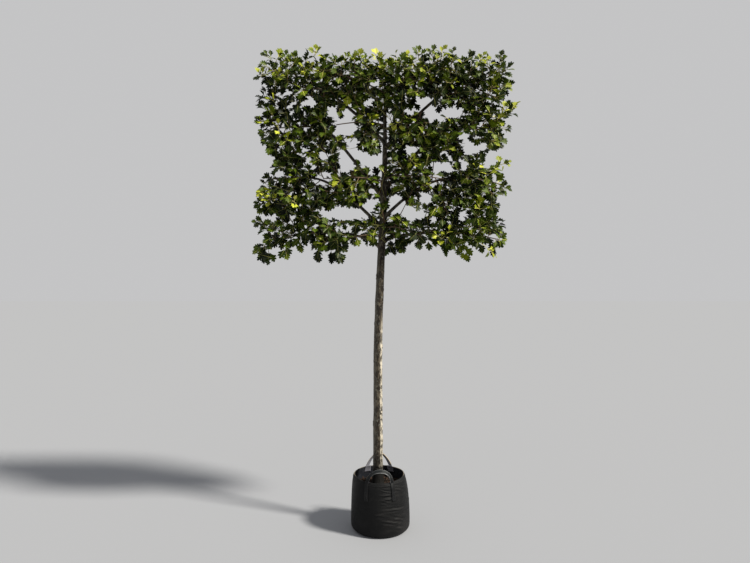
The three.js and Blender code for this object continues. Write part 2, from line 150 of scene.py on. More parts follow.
# %% A wire between nodes
MIX_FIRST = 6  # number of a Mix node's socket for its first colour
MIX_SECOND = 7  # for its second colour
MIX_RESULT = 2  # number of its output for colours


class Wire:
    """An output socket of a material's nodes."""

    def __init__(self, tree, socket):
        self.tree = tree
        self.socket = socket

    def node(self, kind, settings=None, inputs=None, output=0):
        made = self.tree.nodes.new(kind)
        for name, value in (settings or {}).items():
            setattr(made, name, value)
        for name, value in (inputs or {}).items():
            if isinstance(value, Wire):
                self.tree.links.new(value.socket, made.inputs[name])
            else:
                made.inputs[name].default_value = value
        return Wire(self.tree, made.outputs[output])

    def math(self, operation, first, second=0.0):
        return self.node("ShaderNodeMath", {"operation": operation}, {0: first, 1: second})

    def __add__(self, other):
        return self.math("ADD", self, other)

    def __radd__(self, other):
        return self.math("ADD", other, self)

    def __sub__(self, other):
        return self.math("SUBTRACT", self, other)

    def __rsub__(self, other):
        return self.math("SUBTRACT", other, self)

    def __mul__(self, other):
        return self.math("MULTIPLY", self, other)

    def __rmul__(self, other):
        return self.math("MULTIPLY", other, self)

    def step(self, low, high):
        """0 below the low value, 1 above the high one, and a smooth rise between."""
        ends = {"Value": self, "From Min": low, "From Max": high}
        return self.node("ShaderNodeMapRange", {"interpolation_type": "SMOOTHSTEP"}, ends)

    def tint(self, at_zero, at_one):
        """A colour between two, by this value."""
        colours = {0: self, MIX_FIRST: at_zero, MIX_SECOND: at_one}
        return self.node("ShaderNodeMix", {"data_type": "RGBA"}, colours, MIX_RESULT)

    def axis(self, name):
        """One coordinate of this place."""
        return self.node("ShaderNodeSeparateXYZ", {}, {0: self}, name)

    def towards(self, direction):
        """How far this vector points in a direction."""
        settings = {"operation": "DOT_PRODUCT"}
        return self.node("ShaderNodeVectorMath", settings, {0: self, 1: direction}, "Value")

    def scaled(self, factors):
        """This place, stretched along its axes."""
        return self.node("ShaderNodeVectorMath", {"operation": "MULTIPLY"}, {0: self, 1: factors})

    def grain(self, scale, detail=3.0, roughness=0.55):
        """Noise round 0.5 at this place."""
        sizes = {"Vector": self, "Scale": scale, "Detail": detail, "Roughness": roughness}
        return self.node("ShaderNodeTexNoise", {}, sizes)

    def relief(self, distance, strength=1.0):
        """The normal of a surface that this value raises."""
        return self.node("ShaderNodeBump", {}, {"Strength": strength, "Distance": distance, "Height": self})


print("a wire adds:", [name for name in vars(Wire) if not name.startswith("_")])

# %% Finishes and colours
SCREEN_GAMMA = 2.2


class Finish:
    """A material with one Principled shader, whose constants sit on its own sockets."""

    def __init__(self, name, **constants):
        self.material = bpy.data.materials.new(name)
        self.material.use_nodes = True
        self.tree = self.material.node_tree
        self.shader = self.tree.nodes["Principled BSDF"]
        for socket, value in constants.items():
            self.shader.inputs[socket.replace("_", " ")].default_value = value
        self.wire = Wire(self.tree, self.shader.outputs[0])

    def place(self, kind="Object"):
        return self.wire.node("ShaderNodeTexCoord", output=kind)

    def vary(self, **sockets):
        for socket, wire in sockets.items():
            self.tree.links.new(wire.socket, self.shader.inputs[socket.replace("_", " ")])
        return self.material


def rgb(red, green, blue):
    """A colour of the screen's usual 0 to 255 scale, as the light values that shaders take."""
    return tuple((value / 255) ** SCREEN_GAMMA for value in (red, green, blue)) + (1.0,)


print("black cloth reflects", [round(x, 3) for x in rgb(34, 35, 38)[:3]])

# %% [markdown]
# ## Pieces from arrays
# Many small things, such as leaves, are fastest as lists of points and faces. A heap gathers such
# shapes and joins them into one piece. Each piece rides on the plant's one body and hides the solids
# that it stands for.

# %% Pieces and the faces of a grid
def make_piece(name, points, faces, finishes, finish_numbers=None, replaced=()):
    mesh = bpy.data.meshes.new(name)
    mesh.from_pydata(points, [], faces)
    mesh.polygons.foreach_set("use_smooth", [True] * len(mesh.polygons))
    for finish in finishes:
        mesh.materials.append(finish)
    if finish_numbers:
        mesh.polygons.foreach_set("material_index", finish_numbers)
    mesh.update()
    piece = bpy.data.objects.new(name, mesh)
    scene.collection.objects.link(piece)
    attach(piece, "root")
    if replaced:
        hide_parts(*replaced)
    print(name, len(points), "points", len(faces), "faces")
    return piece


@functools.cache
def grid_faces(rows, columns):
    """Quads between the rows of a grid whose last column joins its first, and a lid on each end."""
    faces = []
    for row in range(rows - 1):
        for column in range(columns):
            after = (column + 1) % columns
            low, high = row * columns, (row + 1) * columns
            faces.append((low + column, low + after, high + after, high + column))
    faces.append(tuple(reversed(range(columns))))
    faces.append(tuple(range((rows - 1) * columns, rows * columns)))
    return faces


print("a tube with 12 sides and two lids:", len(grid_faces(2, 12)), "faces")

# %% A heap of small shapes
class Heap:
    """Gathers small shapes for one joined piece."""

    def __init__(self):
        self.points = []
        self.faces = []
        self.finish_numbers = []

    def add(self, points, faces, finish=0):
        """Adds a shape, with the number of its finish or a list of one for each face."""
        first = len(self.points)
        self.points.extend(points)
        self.faces.extend([tuple(first + corner for corner in face) for face in faces])
        self.finish_numbers.extend([finish] * len(faces) if isinstance(finish, int) else finish)

    def piece(self, name, slot, finishes, replaced=()):
        return make_piece(name, self.points, self.faces, finishes, self.finish_numbers, replaced)


print("a heap keeps:", list(vars(Heap())))

# %% Tubes and curves
def rings(path, radii, sides, relief=None):
    """Rings of points square to a path. A relief gives what to add to the radius at a point."""
    points = []
    across = None
    for i, centre in enumerate(path):
        along = (path[min(i + 1, len(path) - 1)] - path[max(i - 1, 0)]).normalized()
        across = along.orthogonal() if across is None else across - along * across.dot(along)
        across.normalize()
        aside = along.cross(across)
        for side in range(sides):
            angle = side / sides * math.tau
            out = across * math.cos(angle) + aside * math.sin(angle)
            point = centre + out * radii[i]
            points.append(point + out * relief(point) if relief else point)
    return points


def smoothstep(value, low, high):
    share = min(1.0, max(0.0, (value - low) / (high - low)))
    return share * share * (3 - 2 * share)


def lerp(start, end, share):
    return start + (end - start) * share


def bezier(*controls):
    """A point on the curve of these control points, as a function of the share along it."""

    def at(share):
        row = list(controls)
        while len(row) > 1:
            row = [start.lerp(end, share) for start, end in zip(row, row[1:])]
        return row[0]

    return at


print("halfway round a bend:", bezier(Vector((0, 0)), Vector((0, 1)), Vector((1, 1)))(0.5))

# %% [markdown]
# ## The cloth of the bag
# The grow bag is black woven cloth, matte, with a faint shine on its threads, dust in its low places
# and a pale, worn edge along its rim. Inside it is coated, and painted a paler, bluer grey there, as a
# painted sheen of the coating. A picture of cloth would have to be unrolled round the bag. Here both
# thread directions are sine waves, one round the bag and one up it, so the weave follows the wall
# wherever it turns. Webbing is as black where it is sewn down, and painted a little paler where it
# stands above the rim, as painted sheen. Its inner face and tails are paler still, as painted light,
# and a pale cord along the edges of its arches is a painted highlight.

# %% Cloth, webbing and thread
BAG_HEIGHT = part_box("grow_bag")[1].z
BAG_BODY_RADIUS = 0.172
THREAD_PITCH = 0.0021
RIM_WEAR = 0.0025  # depth of the rim's worn edge
RIM_WORN = rgb(136, 127, 113)
THREAD_SHADES = (rgb(26, 26, 28), rgb(52, 52, 54))
DUST_HEIGHTS = (0.0, 0.34)  # from where the cloth is dustiest to where it is least so
SHEEN_HEIGHTS = (0.325, 0.375)  # from the rim to where the webbing's painted sheen is full


def bag_cloth(name, plain, dusty):
    cloth = Finish(name, Specular_IOR_Level=0.16, Sheen_Weight=0.02, Sheen_Roughness=0.4)
    place = cloth.place()
    height = place.axis("Z")
    turn = height.math("ARCTAN2", place.axis("Y"), place.axis("X"))
    threads = math.tau / THREAD_PITCH
    round_threads = turn.math("SINE", turn * (BAG_BODY_RADIUS * threads))
    upright_threads = height.math("SINE", height * threads)
    weave = round_threads * upright_threads
    dust = place.grain(9.0, 5.0).step(0.42, 0.75) * (1 - height.step(*DUST_HEIGHTS) * 0.6)
    worn = place.scaled((1.0, 1.0, 3.0)).grain(26.0, 4.0).step(0.5, 0.72)
    frayed = height.step(BAG_HEIGHT - RIM_WEAR, BAG_HEIGHT) * 0.7
    return cloth.vary(
        Base_Color=frayed.tint((dust * 0.30 + worn * 0.25).tint(plain, dusty), RIM_WORN),
        Roughness=0.60 + worn * 0.2 + weave * 0.05,
        Normal=(weave * 0.5 + place.grain(180.0) * 0.6).relief(0.0006, 0.6),
    )


def webbing(name, plain, worn_and_sheen):
    woven = Finish(name, Specular_IOR_Level=0.22)
    place = woven.place()
    worn = place.grain(60.0, 4.0).step(0.45, 0.7)
    # Painted sheen: above the rim, where the arch stands up and catches the light, the webbing is painted
    # paler.
    painted_sheen = place.axis("Z").step(*SHEEN_HEIGHTS)
    return woven.vary(
        Base_Color=(worn * 0.4 + painted_sheen * 0.6).tint(plain, worn_and_sheen),
        Roughness=0.46 + worn * 0.2,
        Normal=place.grain(900.0, 1.0).relief(0.0003, 0.5),
    )


def sewing_thread():
    thread = Finish("sewing_thread", Specular_IOR_Level=0.4)
    twist = thread.place().grain(700.0, 1.0)
    return thread.vary(Base_Color=twist.tint(*THREAD_SHADES), Roughness=0.5 + twist * 0.2)


BAG_CLOTH = bag_cloth("bag_cloth", rgb(14, 15, 16), rgb(43, 42, 41))
# The inside is painted a paler, bluer grey than the outside: a painted sheen of its coating.
BAG_LINING_AND_SHEEN = bag_cloth("bag_lining_and_sheen", rgb(30, 32, 37), rgb(86, 88, 94))
WEBBING = webbing("handle_webbing", rgb(13, 14, 15), rgb(32, 35, 36))
# Painted light: the inner faces of the arches above the rim and the tails inside the bag are painted pale
# grey.
PAINTED_LIGHT_WEBBING = webbing("painted_light_webbing", rgb(106, 106, 113), rgb(92, 93, 98))
# Painted highlights: pale cords along the lit edges of the arches.
PAINTED_HIGHLIGHT_WEBBING = {
    "front": webbing("highlight_grey", rgb(58, 60, 62), rgb(136, 138, 139)),
    "back": webbing("highlight_cream", rgb(110, 102, 90), rgb(160, 147, 127)),
}
SEWING_THREAD = sewing_thread()
print("cloth finishes:", BAG_CLOTH.name, WEBBING.name, SEWING_THREAD.name)

# %% [markdown]
# ## The grow bag
# The bag is a round tube of cloth with a bottom sewn in. Filled with soil it bulges low down and draws
# in towards the rim, which hangs slack at the front. A lathe would leave it looking like a bucket. Here
# one grid of points runs from the underside up the wall, over a folded hem and down inside, and short
# folds and broad dents push the points in and out. Most folds lie level, on the front and right, where
# the slack cloth creases, and a row of short gathers lies beside one leg of the front handle.

# %% The bag's wall
RIM_DIP = 0.015  # how much lower the rim hangs at the front
RIM_DIP_POWER = 4  # the higher, the sooner that drop fades out down the wall
RIM_RADIUS = 0.159
LOW_RADIUS = 0.174
FOOT_RADIUS = 0.142
CORNER = 0.034
BULGE = 0.004
BULGE_POWER = 0.6  # the smaller, the lower the bulge sits
DRAW_IN = 2.5  # the higher, the closer to the rim the wall draws in
ROLL_IN = 0.009  # how far the rim rolls inwards at the top of the wall
ROLL_POWER = 14
SLUMP = 0.008  # how far the rim leans to the left
SLUMP_POWER = 1.5


def bag_radius(height):
    share = height / BAG_HEIGHT
    swell = BULGE * math.sin(math.pi * share**BULGE_POWER)
    return lerp(LOW_RADIUS, RIM_RADIUS, share**DRAW_IN) + swell - ROLL_IN * share**ROLL_POWER


def slump(height):
    """How far to the side the wall leans at a height."""
    return -SLUMP * (height / BAG_HEIGHT) ** SLUMP_POWER


def rim_drop(depth, height):
    """The rim hangs lower at the front, and the drop fades out down the wall."""
    front = max(0.0, -depth / RIM_RADIUS)
    return RIM_DIP * front**2 * (height / BAG_HEIGHT) ** RIM_DIP_POWER


print("bag, low down and at the rim:", [round(2 * bag_radius(BAG_HEIGHT * share), 3) for share in (0.3, 1)])

# %% Folds by chance
FOLD_SEED = 11
CREASES = {
    "count": 46, "levels": (0.05, 0.31), "half": (0.02, 0.055), "slope": (-0.12, 0.16),
    "depth": (0.0008, 0.0022), "width": 0.0062,
}
CREASED_STRETCH = (0.55, 0.4)  # radians from the front to its middle, and its spread
CREASED_DEPTH = 1.6  # of a fold on the creased stretch, over the depth that is dealt out
PLAIN_DEPTH = 0.8  # of a fold elsewhere
GATHERS = {
    "count": 11, "levels": (0.205, 0.300), "half": (0.014, 0.028), "slope": (-0.20, 0.10),
    "depth": (0.0012, 0.0022), "width": 0.0038,
}
GATHERED_STRETCH = (0.20, 0.05)  # beside a leg of the front handle
GATHER_PLACES = (0.2, 0.8)  # of a gather in its own share of the levels


def one_fold(kind, turn, level, deeper, draw):
    return {
        "turn": turn,
        "level": level,
        "half": draw.uniform(*kind["half"]),
        "slope": draw.normal(*kind["slope"]),
        "depth": draw.uniform(*kind["depth"]) * deeper,
        "width": kind["width"],
    }


def make_folds():
    draw = np.random.default_rng(FOLD_SEED)
    folds = []
    for i in range(CREASES["count"]):
        creased = i % 2 == 0
        turn = draw.normal(*CREASED_STRETCH) if creased else draw.uniform(-math.pi, math.pi)
        level = draw.uniform(*CREASES["levels"])
        folds.append(one_fold(CREASES, turn, level, CREASED_DEPTH if creased else PLAIN_DEPTH, draw))
    for i in range(GATHERS["count"]):
        turn = draw.normal(*GATHERED_STRETCH)
        level = lerp(*GATHERS["levels"], (i + draw.uniform(*GATHER_PLACES)) / GATHERS["count"])
        folds.append(one_fold(GATHERS, turn, level, 1.0, draw))
    return folds


FOLDS = make_folds()
print("deepest fold:", round(1000 * max(fold["depth"] for fold in FOLDS), 1), "mm")

# %% Slack cloth
BAG_FLATS = 32  # round the solid bag's wall
HANDLE_ANGLE = 2.5 / BAG_FLATS * math.tau  # from the front or the back to the flat with a handle's leg
HANDLE_SEWN = 0.100  # length of a leg on the wall
LEG_GRIP = 0.12  # radians to each side of a leg in which it keeps the cloth flat
LEG_GRIP_POWER = 4  # the higher, the more suddenly its grip ends at the sides
LEG_FADE = 0.02  # below a leg, where its grip ends
BROAD_DENTS = {"depth": 0.0022, "count": 3, "start": 0.6, "slant": 2.2}
NARROW_DENTS = {"depth": 0.0012, "count": 7, "start": -1.1, "slant": -5.0}
VALLEY = 0.8  # depth of the valley beside a fold's ridge, over the ridge's height
VALLEY_SHIFT = 1.6  # from ridge to valley, over the fold's width
FLAT_FOOT = 0.006  # height up to which the cloth is smooth
FLAT_FOOT_FADE = 0.05


def held(angle, height):
    """1 where the sewn leg of a handle keeps the cloth flat, and 0 away from it."""
    aside = np.abs((angle + math.pi / 2) % math.pi - math.pi / 2) - HANDLE_ANGLE
    beside = np.exp(-((aside / LEG_GRIP) ** LEG_GRIP_POWER))
    foot = BAG_HEIGHT - RIM_DIP - HANDLE_SEWN
    return beside * np.clip((height - foot) / LEG_FADE + 1, 0, 1)


def dents(kind, angle, level):
    """Waves round the wall that wander sideways on the way up."""
    return kind["depth"] * np.sin(kind["count"] * angle + kind["start"] + kind["slant"] * level)


def slack(angle, height):
    """How far the cloth stands in or out of its smooth wall, at an angle from the front and a height."""
    level = height / BAG_HEIGHT
    broad = dents(BROAD_DENTS, angle, level) * np.sin(math.pi * level)
    out = broad + dents(NARROW_DENTS, angle, level)
    free = 1 - held(angle, height)
    for fold in FOLDS:
        aside = (angle - fold["turn"] + math.pi) % math.tau - math.pi
        along = aside * LOW_RADIUS / fold["half"]
        across = (height - fold["level"] - fold["slope"] * aside * LOW_RADIUS) / fold["width"]
        ridge = np.exp(-(across**2)) - VALLEY * np.exp(-((across - VALLEY_SHIFT) ** 2))
        out = out + free * fold["depth"] * np.exp(-(along**2)) * ridge
    return out * np.clip((height - FLAT_FOOT) / FLAT_FOOT_FADE, 0, 1)


print("slack at the front, halfway up:", round(1000 * float(slack(0.0, BAG_HEIGHT / 2)), 2), "mm")

# %% The bag's skin
BAG_COLUMNS = 176
FOOT_RINGS = (0.3, 0.7)  # rows on the underside, as shares of its radius
CORNER_STEPS = 9
WALL_STEPS = 120
INNER_STEPS = 24
CLOTH_THICK = 0.003
HEM_WIDTH = 0.020
HEM_THICK = 0.0012
HEM_EDGE = 0.002  # height over which the hem steps out
LIP = 0.003  # height over which the rim is rounded off
LIP_INSIDE = 0.001  # from the rim to the first row inside


def bag_stations():
    """Radius and height of each row, from the underside up the wall, over the hem and down inside."""
    rows = [(FOOT_RADIUS * share, 0.0) for share in FOOT_RINGS]
    swing = bag_radius(CORNER) - FOOT_RADIUS
    for i in range(CORNER_STEPS):
        angle = i / CORNER_STEPS * math.pi / 2
        rows.append((FOOT_RADIUS + swing * math.sin(angle), CORNER * (1 - math.cos(angle))))
    hem_foot = BAG_HEIGHT - HEM_WIDTH
    for i in range(WALL_STEPS + 1):
        height = lerp(CORNER, BAG_HEIGHT, i / WALL_STEPS)
        hem = HEM_THICK * smoothstep(height, hem_foot - HEM_EDGE, hem_foot)
        round_off = HEM_THICK * smoothstep(height, BAG_HEIGHT - LIP, BAG_HEIGHT)
        rows.append((bag_radius(height) + hem - round_off, height))
    for i in range(INNER_STEPS + 1):
        height = lerp(BAG_HEIGHT - LIP_INSIDE, CORNER, i / INNER_STEPS)
        rows.append((bag_radius(height) - CLOTH_THICK, height))
    rows.append((FOOT_RADIUS - CLOTH_THICK, CLOTH_THICK))
    return rows


def on_wall(angle, height, reach):
    """The place at an angle from the front where the wall stands out this far at a height."""
    depth = -reach * math.cos(angle)
    return reach * math.sin(angle) + slump(height), depth, height - rim_drop(depth, height)


def make_bag():
    angles = np.arange(BAG_COLUMNS) / BAG_COLUMNS * math.tau
    stations = bag_stations()
    points = []
    for radius, height in stations:
        pushed = radius + slack(angles, height)
        points += [on_wall(angle, height, reach) for angle, reach in zip(angles, pushed)]
    faces = grid_faces(len(stations), BAG_COLUMNS)
    first_inside = (len(stations) - INNER_STEPS - 2) * BAG_COLUMNS
    # Faces inside the bag get the lining's colour, with its painted sheen.
    inner_sheen = [int(corners[0] >= first_inside) for corners in faces]
    return make_piece("bag_skin", points, faces, [BAG_CLOTH, BAG_LINING_AND_SHEEN], inner_sheen, ["grow_bag"])


make_bag()

# %% [markdown]
# ## Carrying handles
# Each handle is one length of flat webbing. Its inner face is painted grey as painted sheen, and a
# pale cord along the edges of its arch is a painted highlight. Its ends are sewn to the wall, with a
# short tail folded to the inside and painted pale grey, as painted light, and its middle stands up. A
# curve with a bevel would twist on the way round, so the band is drawn flat first, as a line of places
# across and up, and then wrapped round the wall. Raised ribs and a box of stitches on each leg are real
# geometry, because they catch the light.

# %% The line of a handle
HANDLE_RISE = 0.074
ARCH_TOP = {"front": 0.85, "back": 0.30}  # how wide an arch stays towards its top
ARCH_SKEW = {"front": 0.009, "back": 0.002}  # sideways shift of its top
RIB_PITCH = 0.0016
TAIL_LENGTH = 0.036
TAIL_OVER = 2  # ribs by which a tail stands above the rim


def arch_line(rim, face):
    """The middle of a handle's band, flat: up one leg, round the arch and down the other leg."""
    half = HANDLE_ANGLE * LOW_RADIUS
    legs = int(HANDLE_SEWN / RIB_PITCH)
    half_oval = math.pi / 2 * (half + HANDLE_RISE)
    turns = int(half_oval / RIB_PITCH)
    up = [(-half, rim - HANDLE_SEWN * (1 - i / legs)) for i in range(legs)]
    pull = rim + HANDLE_RISE * 4 / 3  # the curve rises to three quarters of its middle controls
    left, right = [ARCH_SKEW[face] + side * half * ARCH_TOP[face] for side in (-1, 1)]
    curve = bezier(Vector((-half, rim)), Vector((left, pull)), Vector((right, pull)), Vector((half, rim)))
    over = [tuple(curve(i / turns)) for i in range(turns + 1)]
    down = [(-x, z) for x, z in reversed(up)]
    return up + over + down


def tail_line(side, rim):
    """The middle of one short tail on the inside, from its end up past the rim."""
    x = side * HANDLE_ANGLE * LOW_RADIUS
    steps = int(TAIL_LENGTH / RIB_PITCH)
    return [(x, rim - TAIL_LENGTH * (1 - i / steps)) for i in range(steps + 1 + TAIL_OVER)]


print("handle length:", round(RIB_PITCH * len(arch_line(BAG_HEIGHT, "back")), 3), "m")

# %% From the flat to the wall
ARCH_TWIST = {"front": 0.9, "back": 0.7}  # radians by which the top of an arch leans over the bag


def wrapped(x, z, rim, lift, face):
    """A place on a flat band, set round the wall: lift is its distance out from the smooth cloth."""
    angle = x / LOW_RADIUS
    height = min(z, rim)
    back = face == "back"
    drop = 0.0 if back else rim_drop(-bag_radius(height) * math.cos(angle), height)
    level = min(height + drop, BAG_HEIGHT)
    facing = angle + math.pi if back else angle
    radius = bag_radius(level) + float(slack(facing, level)) + HEM_THICK + lift
    return Vector((radius * math.sin(facing) + slump(level), -radius * math.cos(facing), z))


def line_sides(line):
    """At each place of a flat line, its unit direction turned a quarter: the way across the band."""
    sides = []
    for i in range(len(line)):
        before, after = line[max(i - 1, 0)], line[min(i + 1, len(line) - 1)]
        length = math.dist(before, after)
        sides.append(((before[1] - after[1]) / length, (after[0] - before[0]) / length))
    return sides


def on_band(place, side, aside, rim, lift, face):
    """A place beside the middle line of a band, which leans over the bag towards the top of its arch."""
    x, z = place
    lean = ARCH_TWIST[face] * smoothstep(z, rim, rim + HANDLE_RISE)
    shift = aside * math.cos(lean)
    lifted = lift - aside * math.sin(lean)
    return wrapped(x + side[0] * shift, z + side[1] * shift, rim, lifted, face)


print("ribs on a handle:", len(line_sides(arch_line(BAG_HEIGHT, "back"))) // 2)

# %% Bands and their edge cords
BAND_WIDTH = 0.022
BAND_THICK = 0.0026
BAND_EDGE = 0.6  # thickness at a band's edges, over that between them
BAND_COLUMNS = 7
RIB_DEPTH = 0.00022
HIGHLIGHT_FADE = (-0.050, 0.005)  # across the bag, from the shaded left, where the painted highlight is thinnest, to where it is full
HIGHLIGHT_THIN = 0.3
CORD_SIDES = 6
OUTSIDE, PAINTED_LIGHT, PAINTED_HIGHLIGHT = range(3)  # numbers of the finishes on a handle


def band(heap, line, rim, face, foot, width=BAND_WIDTH, outside=OUTSIDE):
    """Adds a ribbed band along a flat line, its inner face painted paler above the rim as painted sheen,
    its foot this far off the wall.
    """
    points = []
    for row, (place, side) in enumerate(zip(line, line_sides(line))):
        rib = RIB_DEPTH * (row % 2)
        for out in (1, -1):
            for column in range(BAND_COLUMNS):
                across = out * (column / (BAND_COLUMNS - 1) * 2 - 1)
                edge = BAND_EDGE if abs(across) == 1 else 1.0
                lift = foot + BAND_THICK / 2 + out * edge * (BAND_THICK / 2 - rib)
                points.append(on_band(place, side, across * width / 2, rim, lift, face))
    faces = grid_faces(len(line), BAND_COLUMNS * 2)
    numbers = []
    for corners in faces:
        row, column = divmod(corners[0], BAND_COLUMNS * 2)
        inner_sheen = column >= BAND_COLUMNS and line[row][1] > rim
        numbers.append(PAINTED_LIGHT if inner_sheen else outside)
    heap.add(points, faces, numbers)


def highlight_cord(heap, line, rim, face, foot, edge, radius):
    """Adds a pale cord along one edge of an arch, on the side that looks to the front: a painted highlight.
    """
    lift = foot + (BAND_THICK if face == "front" else 0.0)
    path = []
    for place, side in zip(line, line_sides(line)):
        if place[1] > rim + radius:
            path.append(on_band(place, side, edge * BAND_WIDTH / 2, rim, lift, face))
    radii = [radius * lerp(HIGHLIGHT_THIN, 1.0, smoothstep(point.x, *HIGHLIGHT_FADE)) for point in path]
    heap.add(rings(path, radii, CORD_SIDES), grid_faces(len(path), CORD_SIDES), PAINTED_HIGHLIGHT)


print("points round a band:", 2 * BAND_COLUMNS)

# %% Stitches
SEAT_GAP = 0.0004  # from the cloth to what lies on it
STITCH = 0.0034
STITCH_GAP = 0.0014
STITCH_RADIUS = 0.00045
STITCH_SIDES = 4
STITCH_BOX = (0.016, 0.042)  # across and up a leg
STITCH_BOX_FOOT = 0.008  # above a leg's end
STROKE_STEPS = 12


def stitch_run(heap, places):
    """Stitches end to end along a line of points, each a short thread with sunk ends."""
    lengths = [0.0]
    for start, end in zip(places, places[1:]):
        lengths.append(lengths[-1] + (end - start).length)
    at = 0.0
    while at + STITCH < lengths[-1]:
        ends = [np.interp(at + STITCH * share, lengths, range(len(places))) for share in (0, 1)]
        start, end = [places[int(e)].lerp(places[min(int(e) + 1, len(places) - 1)], e % 1) for e in ends]
        heap.add(rings([start, end], [STITCH_RADIUS] * 2, STITCH_SIDES), grid_faces(2, STITCH_SIDES))
        at += STITCH + STITCH_GAP


def leg_stitches(heap, side, rim, face):
    """A box with a cross in it, sewn through a leg."""
    middle = side * HANDLE_ANGLE * LOW_RADIUS
    wide, high = STITCH_BOX
    foot = rim - HANDLE_SEWN + STITCH_BOX_FOOT
    lift = SEAT_GAP + BAND_THICK
    corners = [(-wide / 2, 0), (wide / 2, 0), (wide / 2, high), (-wide / 2, high)]
    strokes = [(0, 1), (1, 2), (2, 3), (3, 0), (0, 2), (1, 3)]
    for start, end in strokes:
        line = []
        for share in np.linspace(0, 1, STROKE_STEPS):
            x = middle + lerp(corners[start][0], corners[end][0], share)
            z = foot + lerp(corners[start][1], corners[end][1], share)
            line.append(wrapped(x, z, rim, lift, face))
        stitch_run(heap, line)


print("stitches to a metre:", int(1 / (STITCH + STITCH_GAP)))

# %% Handles and seams
# Painted highlights of each arch, drawn as pale cords: their edge, where -1 is the inner one, and their
# radius.
HIGHLIGHT_CORDS = {"front": [(-1, 0.0015), (1, 0.0009)], "back": [(1, 0.0030)]}
TAIL_WIDTH = 0.048
HEM_SEAM = 0.016  # below the rim
HEM_SEAM_STEPS = 240


def make_handle(face, rim):
    heap = Heap()
    line = arch_line(rim, face)
    band(heap, line, rim, face, SEAT_GAP)
    for edge, radius in HIGHLIGHT_CORDS[face]:
        highlight_cord(heap, line, rim, face, SEAT_GAP, edge, radius)
    inside = -(CLOTH_THICK + HEM_THICK + BAND_THICK + SEAT_GAP)
    for side in (-1, 1):
        # The tails are painted pale grey all over: painted light.
        band(heap, tail_line(side, rim), rim, face, inside, TAIL_WIDTH, PAINTED_LIGHT)
    finishes = [WEBBING, PAINTED_LIGHT_WEBBING, PAINTED_HIGHLIGHT_WEBBING[face]]
    heap.piece(f"handle_{face}_band", "webbing", finishes, [f"handle_{face}"])
    seams = Heap()
    for side in (-1, 1):
        leg_stitches(seams, side, rim, face)
    seams.piece(f"handle_{face}_stitches", "webbing", [SEWING_THREAD])


def make_hem_seam():
    seam = Heap()
    height = BAG_HEIGHT - HEM_SEAM
    line = []
    for angle in np.linspace(0, math.tau, HEM_SEAM_STEPS):
        reach = bag_radius(height) + HEM_THICK + float(slack(angle, height))
        line.append(Vector(on_wall(angle, height, reach)))
    stitch_run(seam, line)
    seam.piece("hem_stitches", "bag", [SEWING_THREAD])


make_handle("front", BAG_HEIGHT - RIM_DIP)
make_handle("back", BAG_HEIGHT)
make_hem_seam()

# %% [markdown]
# ## Potting soil
# The filling is dark, moist peat with bits of bark on top, some way below the rim and a little higher
# at the stem. A flat disc would give it away, so its top is raised by noise, and loose chips are
# scattered over it, each a lump with its corners pushed about. Each chip has one of a few browns, with
# streaks in it.

# %% The bed of soil
SOIL_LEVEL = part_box("potting_soil")[1].z
SOIL_EDGE_DROP = 0.010
SOIL_ROUGH = 0.007
SOIL_BUMPS = 42.0  # to a metre
SOIL_NOISE = (0.8, 2.0, 4)  # how fast finer bumps fade, how much finer each is, and how many
SOIL_SLICE = 0.3  # height in the noise
SOIL_COLUMNS = 96
SOIL_ROWS = 26


def soil_crumbs():
    soil = Finish("soil_crumbs", Specular_IOR_Level=0.2)
    place = soil.place()
    lumps = place.grain(70.0, 5.0, 0.7)
    fibres = place.scaled((1.0, 1.6, 1.0)).grain(240.0, 3.0).step(0.55, 0.75)
    colour = lumps.step(0.35, 0.7).tint(rgb(20, 16, 12), rgb(42, 32, 25))
    return soil.vary(
        Base_Color=(fibres * 0.5).tint(colour, rgb(68, 53, 42)),
        Roughness=0.85 + lumps * 0.15,
        Normal=(lumps + fibres * 0.4).relief(0.004, 0.9),
    )


def soil_height(x, y):
    share = math.hypot(x, y) / RIM_RADIUS
    bumps = noise.fractal(Vector((x, y, SOIL_SLICE)) * SOIL_BUMPS, *SOIL_NOISE)
    return SOIL_LEVEL - SOIL_EDGE_DROP * share**2 + SOIL_ROUGH * bumps


def make_soil():
    """Makes the filling, clear of the cloth, and gives the radius of its top."""
    edge_height = SOIL_LEVEL - SOIL_EDGE_DROP
    edge = bag_radius(edge_height) - CLOTH_THICK - SEAT_GAP
    angles = [i / SOIL_COLUMNS * math.tau for i in range(SOIL_COLUMNS)]
    pushed = [min(0.0, float(slack(angle, edge_height))) for angle in angles]
    inset = 2 * CLOTH_THICK
    rows = [(FOOT_RADIUS - inset, inset), (bag_radius(CORNER) - inset, CORNER)]
    points = []
    for radius, height in rows:
        points += [(radius * math.sin(a), -radius * math.cos(a), height) for a in angles]
    for row in range(SOIL_ROWS):
        share = 1 - row / SOIL_ROWS
        for angle, push in zip(angles, pushed):
            radius = (edge + push) * share
            x, y = radius * math.sin(angle) + slump(edge_height), -radius * math.cos(angle)
            points.append((x, y, soil_height(x, y)))
    faces = grid_faces(len(rows) + SOIL_ROWS, SOIL_COLUMNS)
    make_piece("soil_bed", points, faces, [soil_crumbs()], replaced=["potting_soil"])
    return edge


SOIL_RADIUS = make_soil()

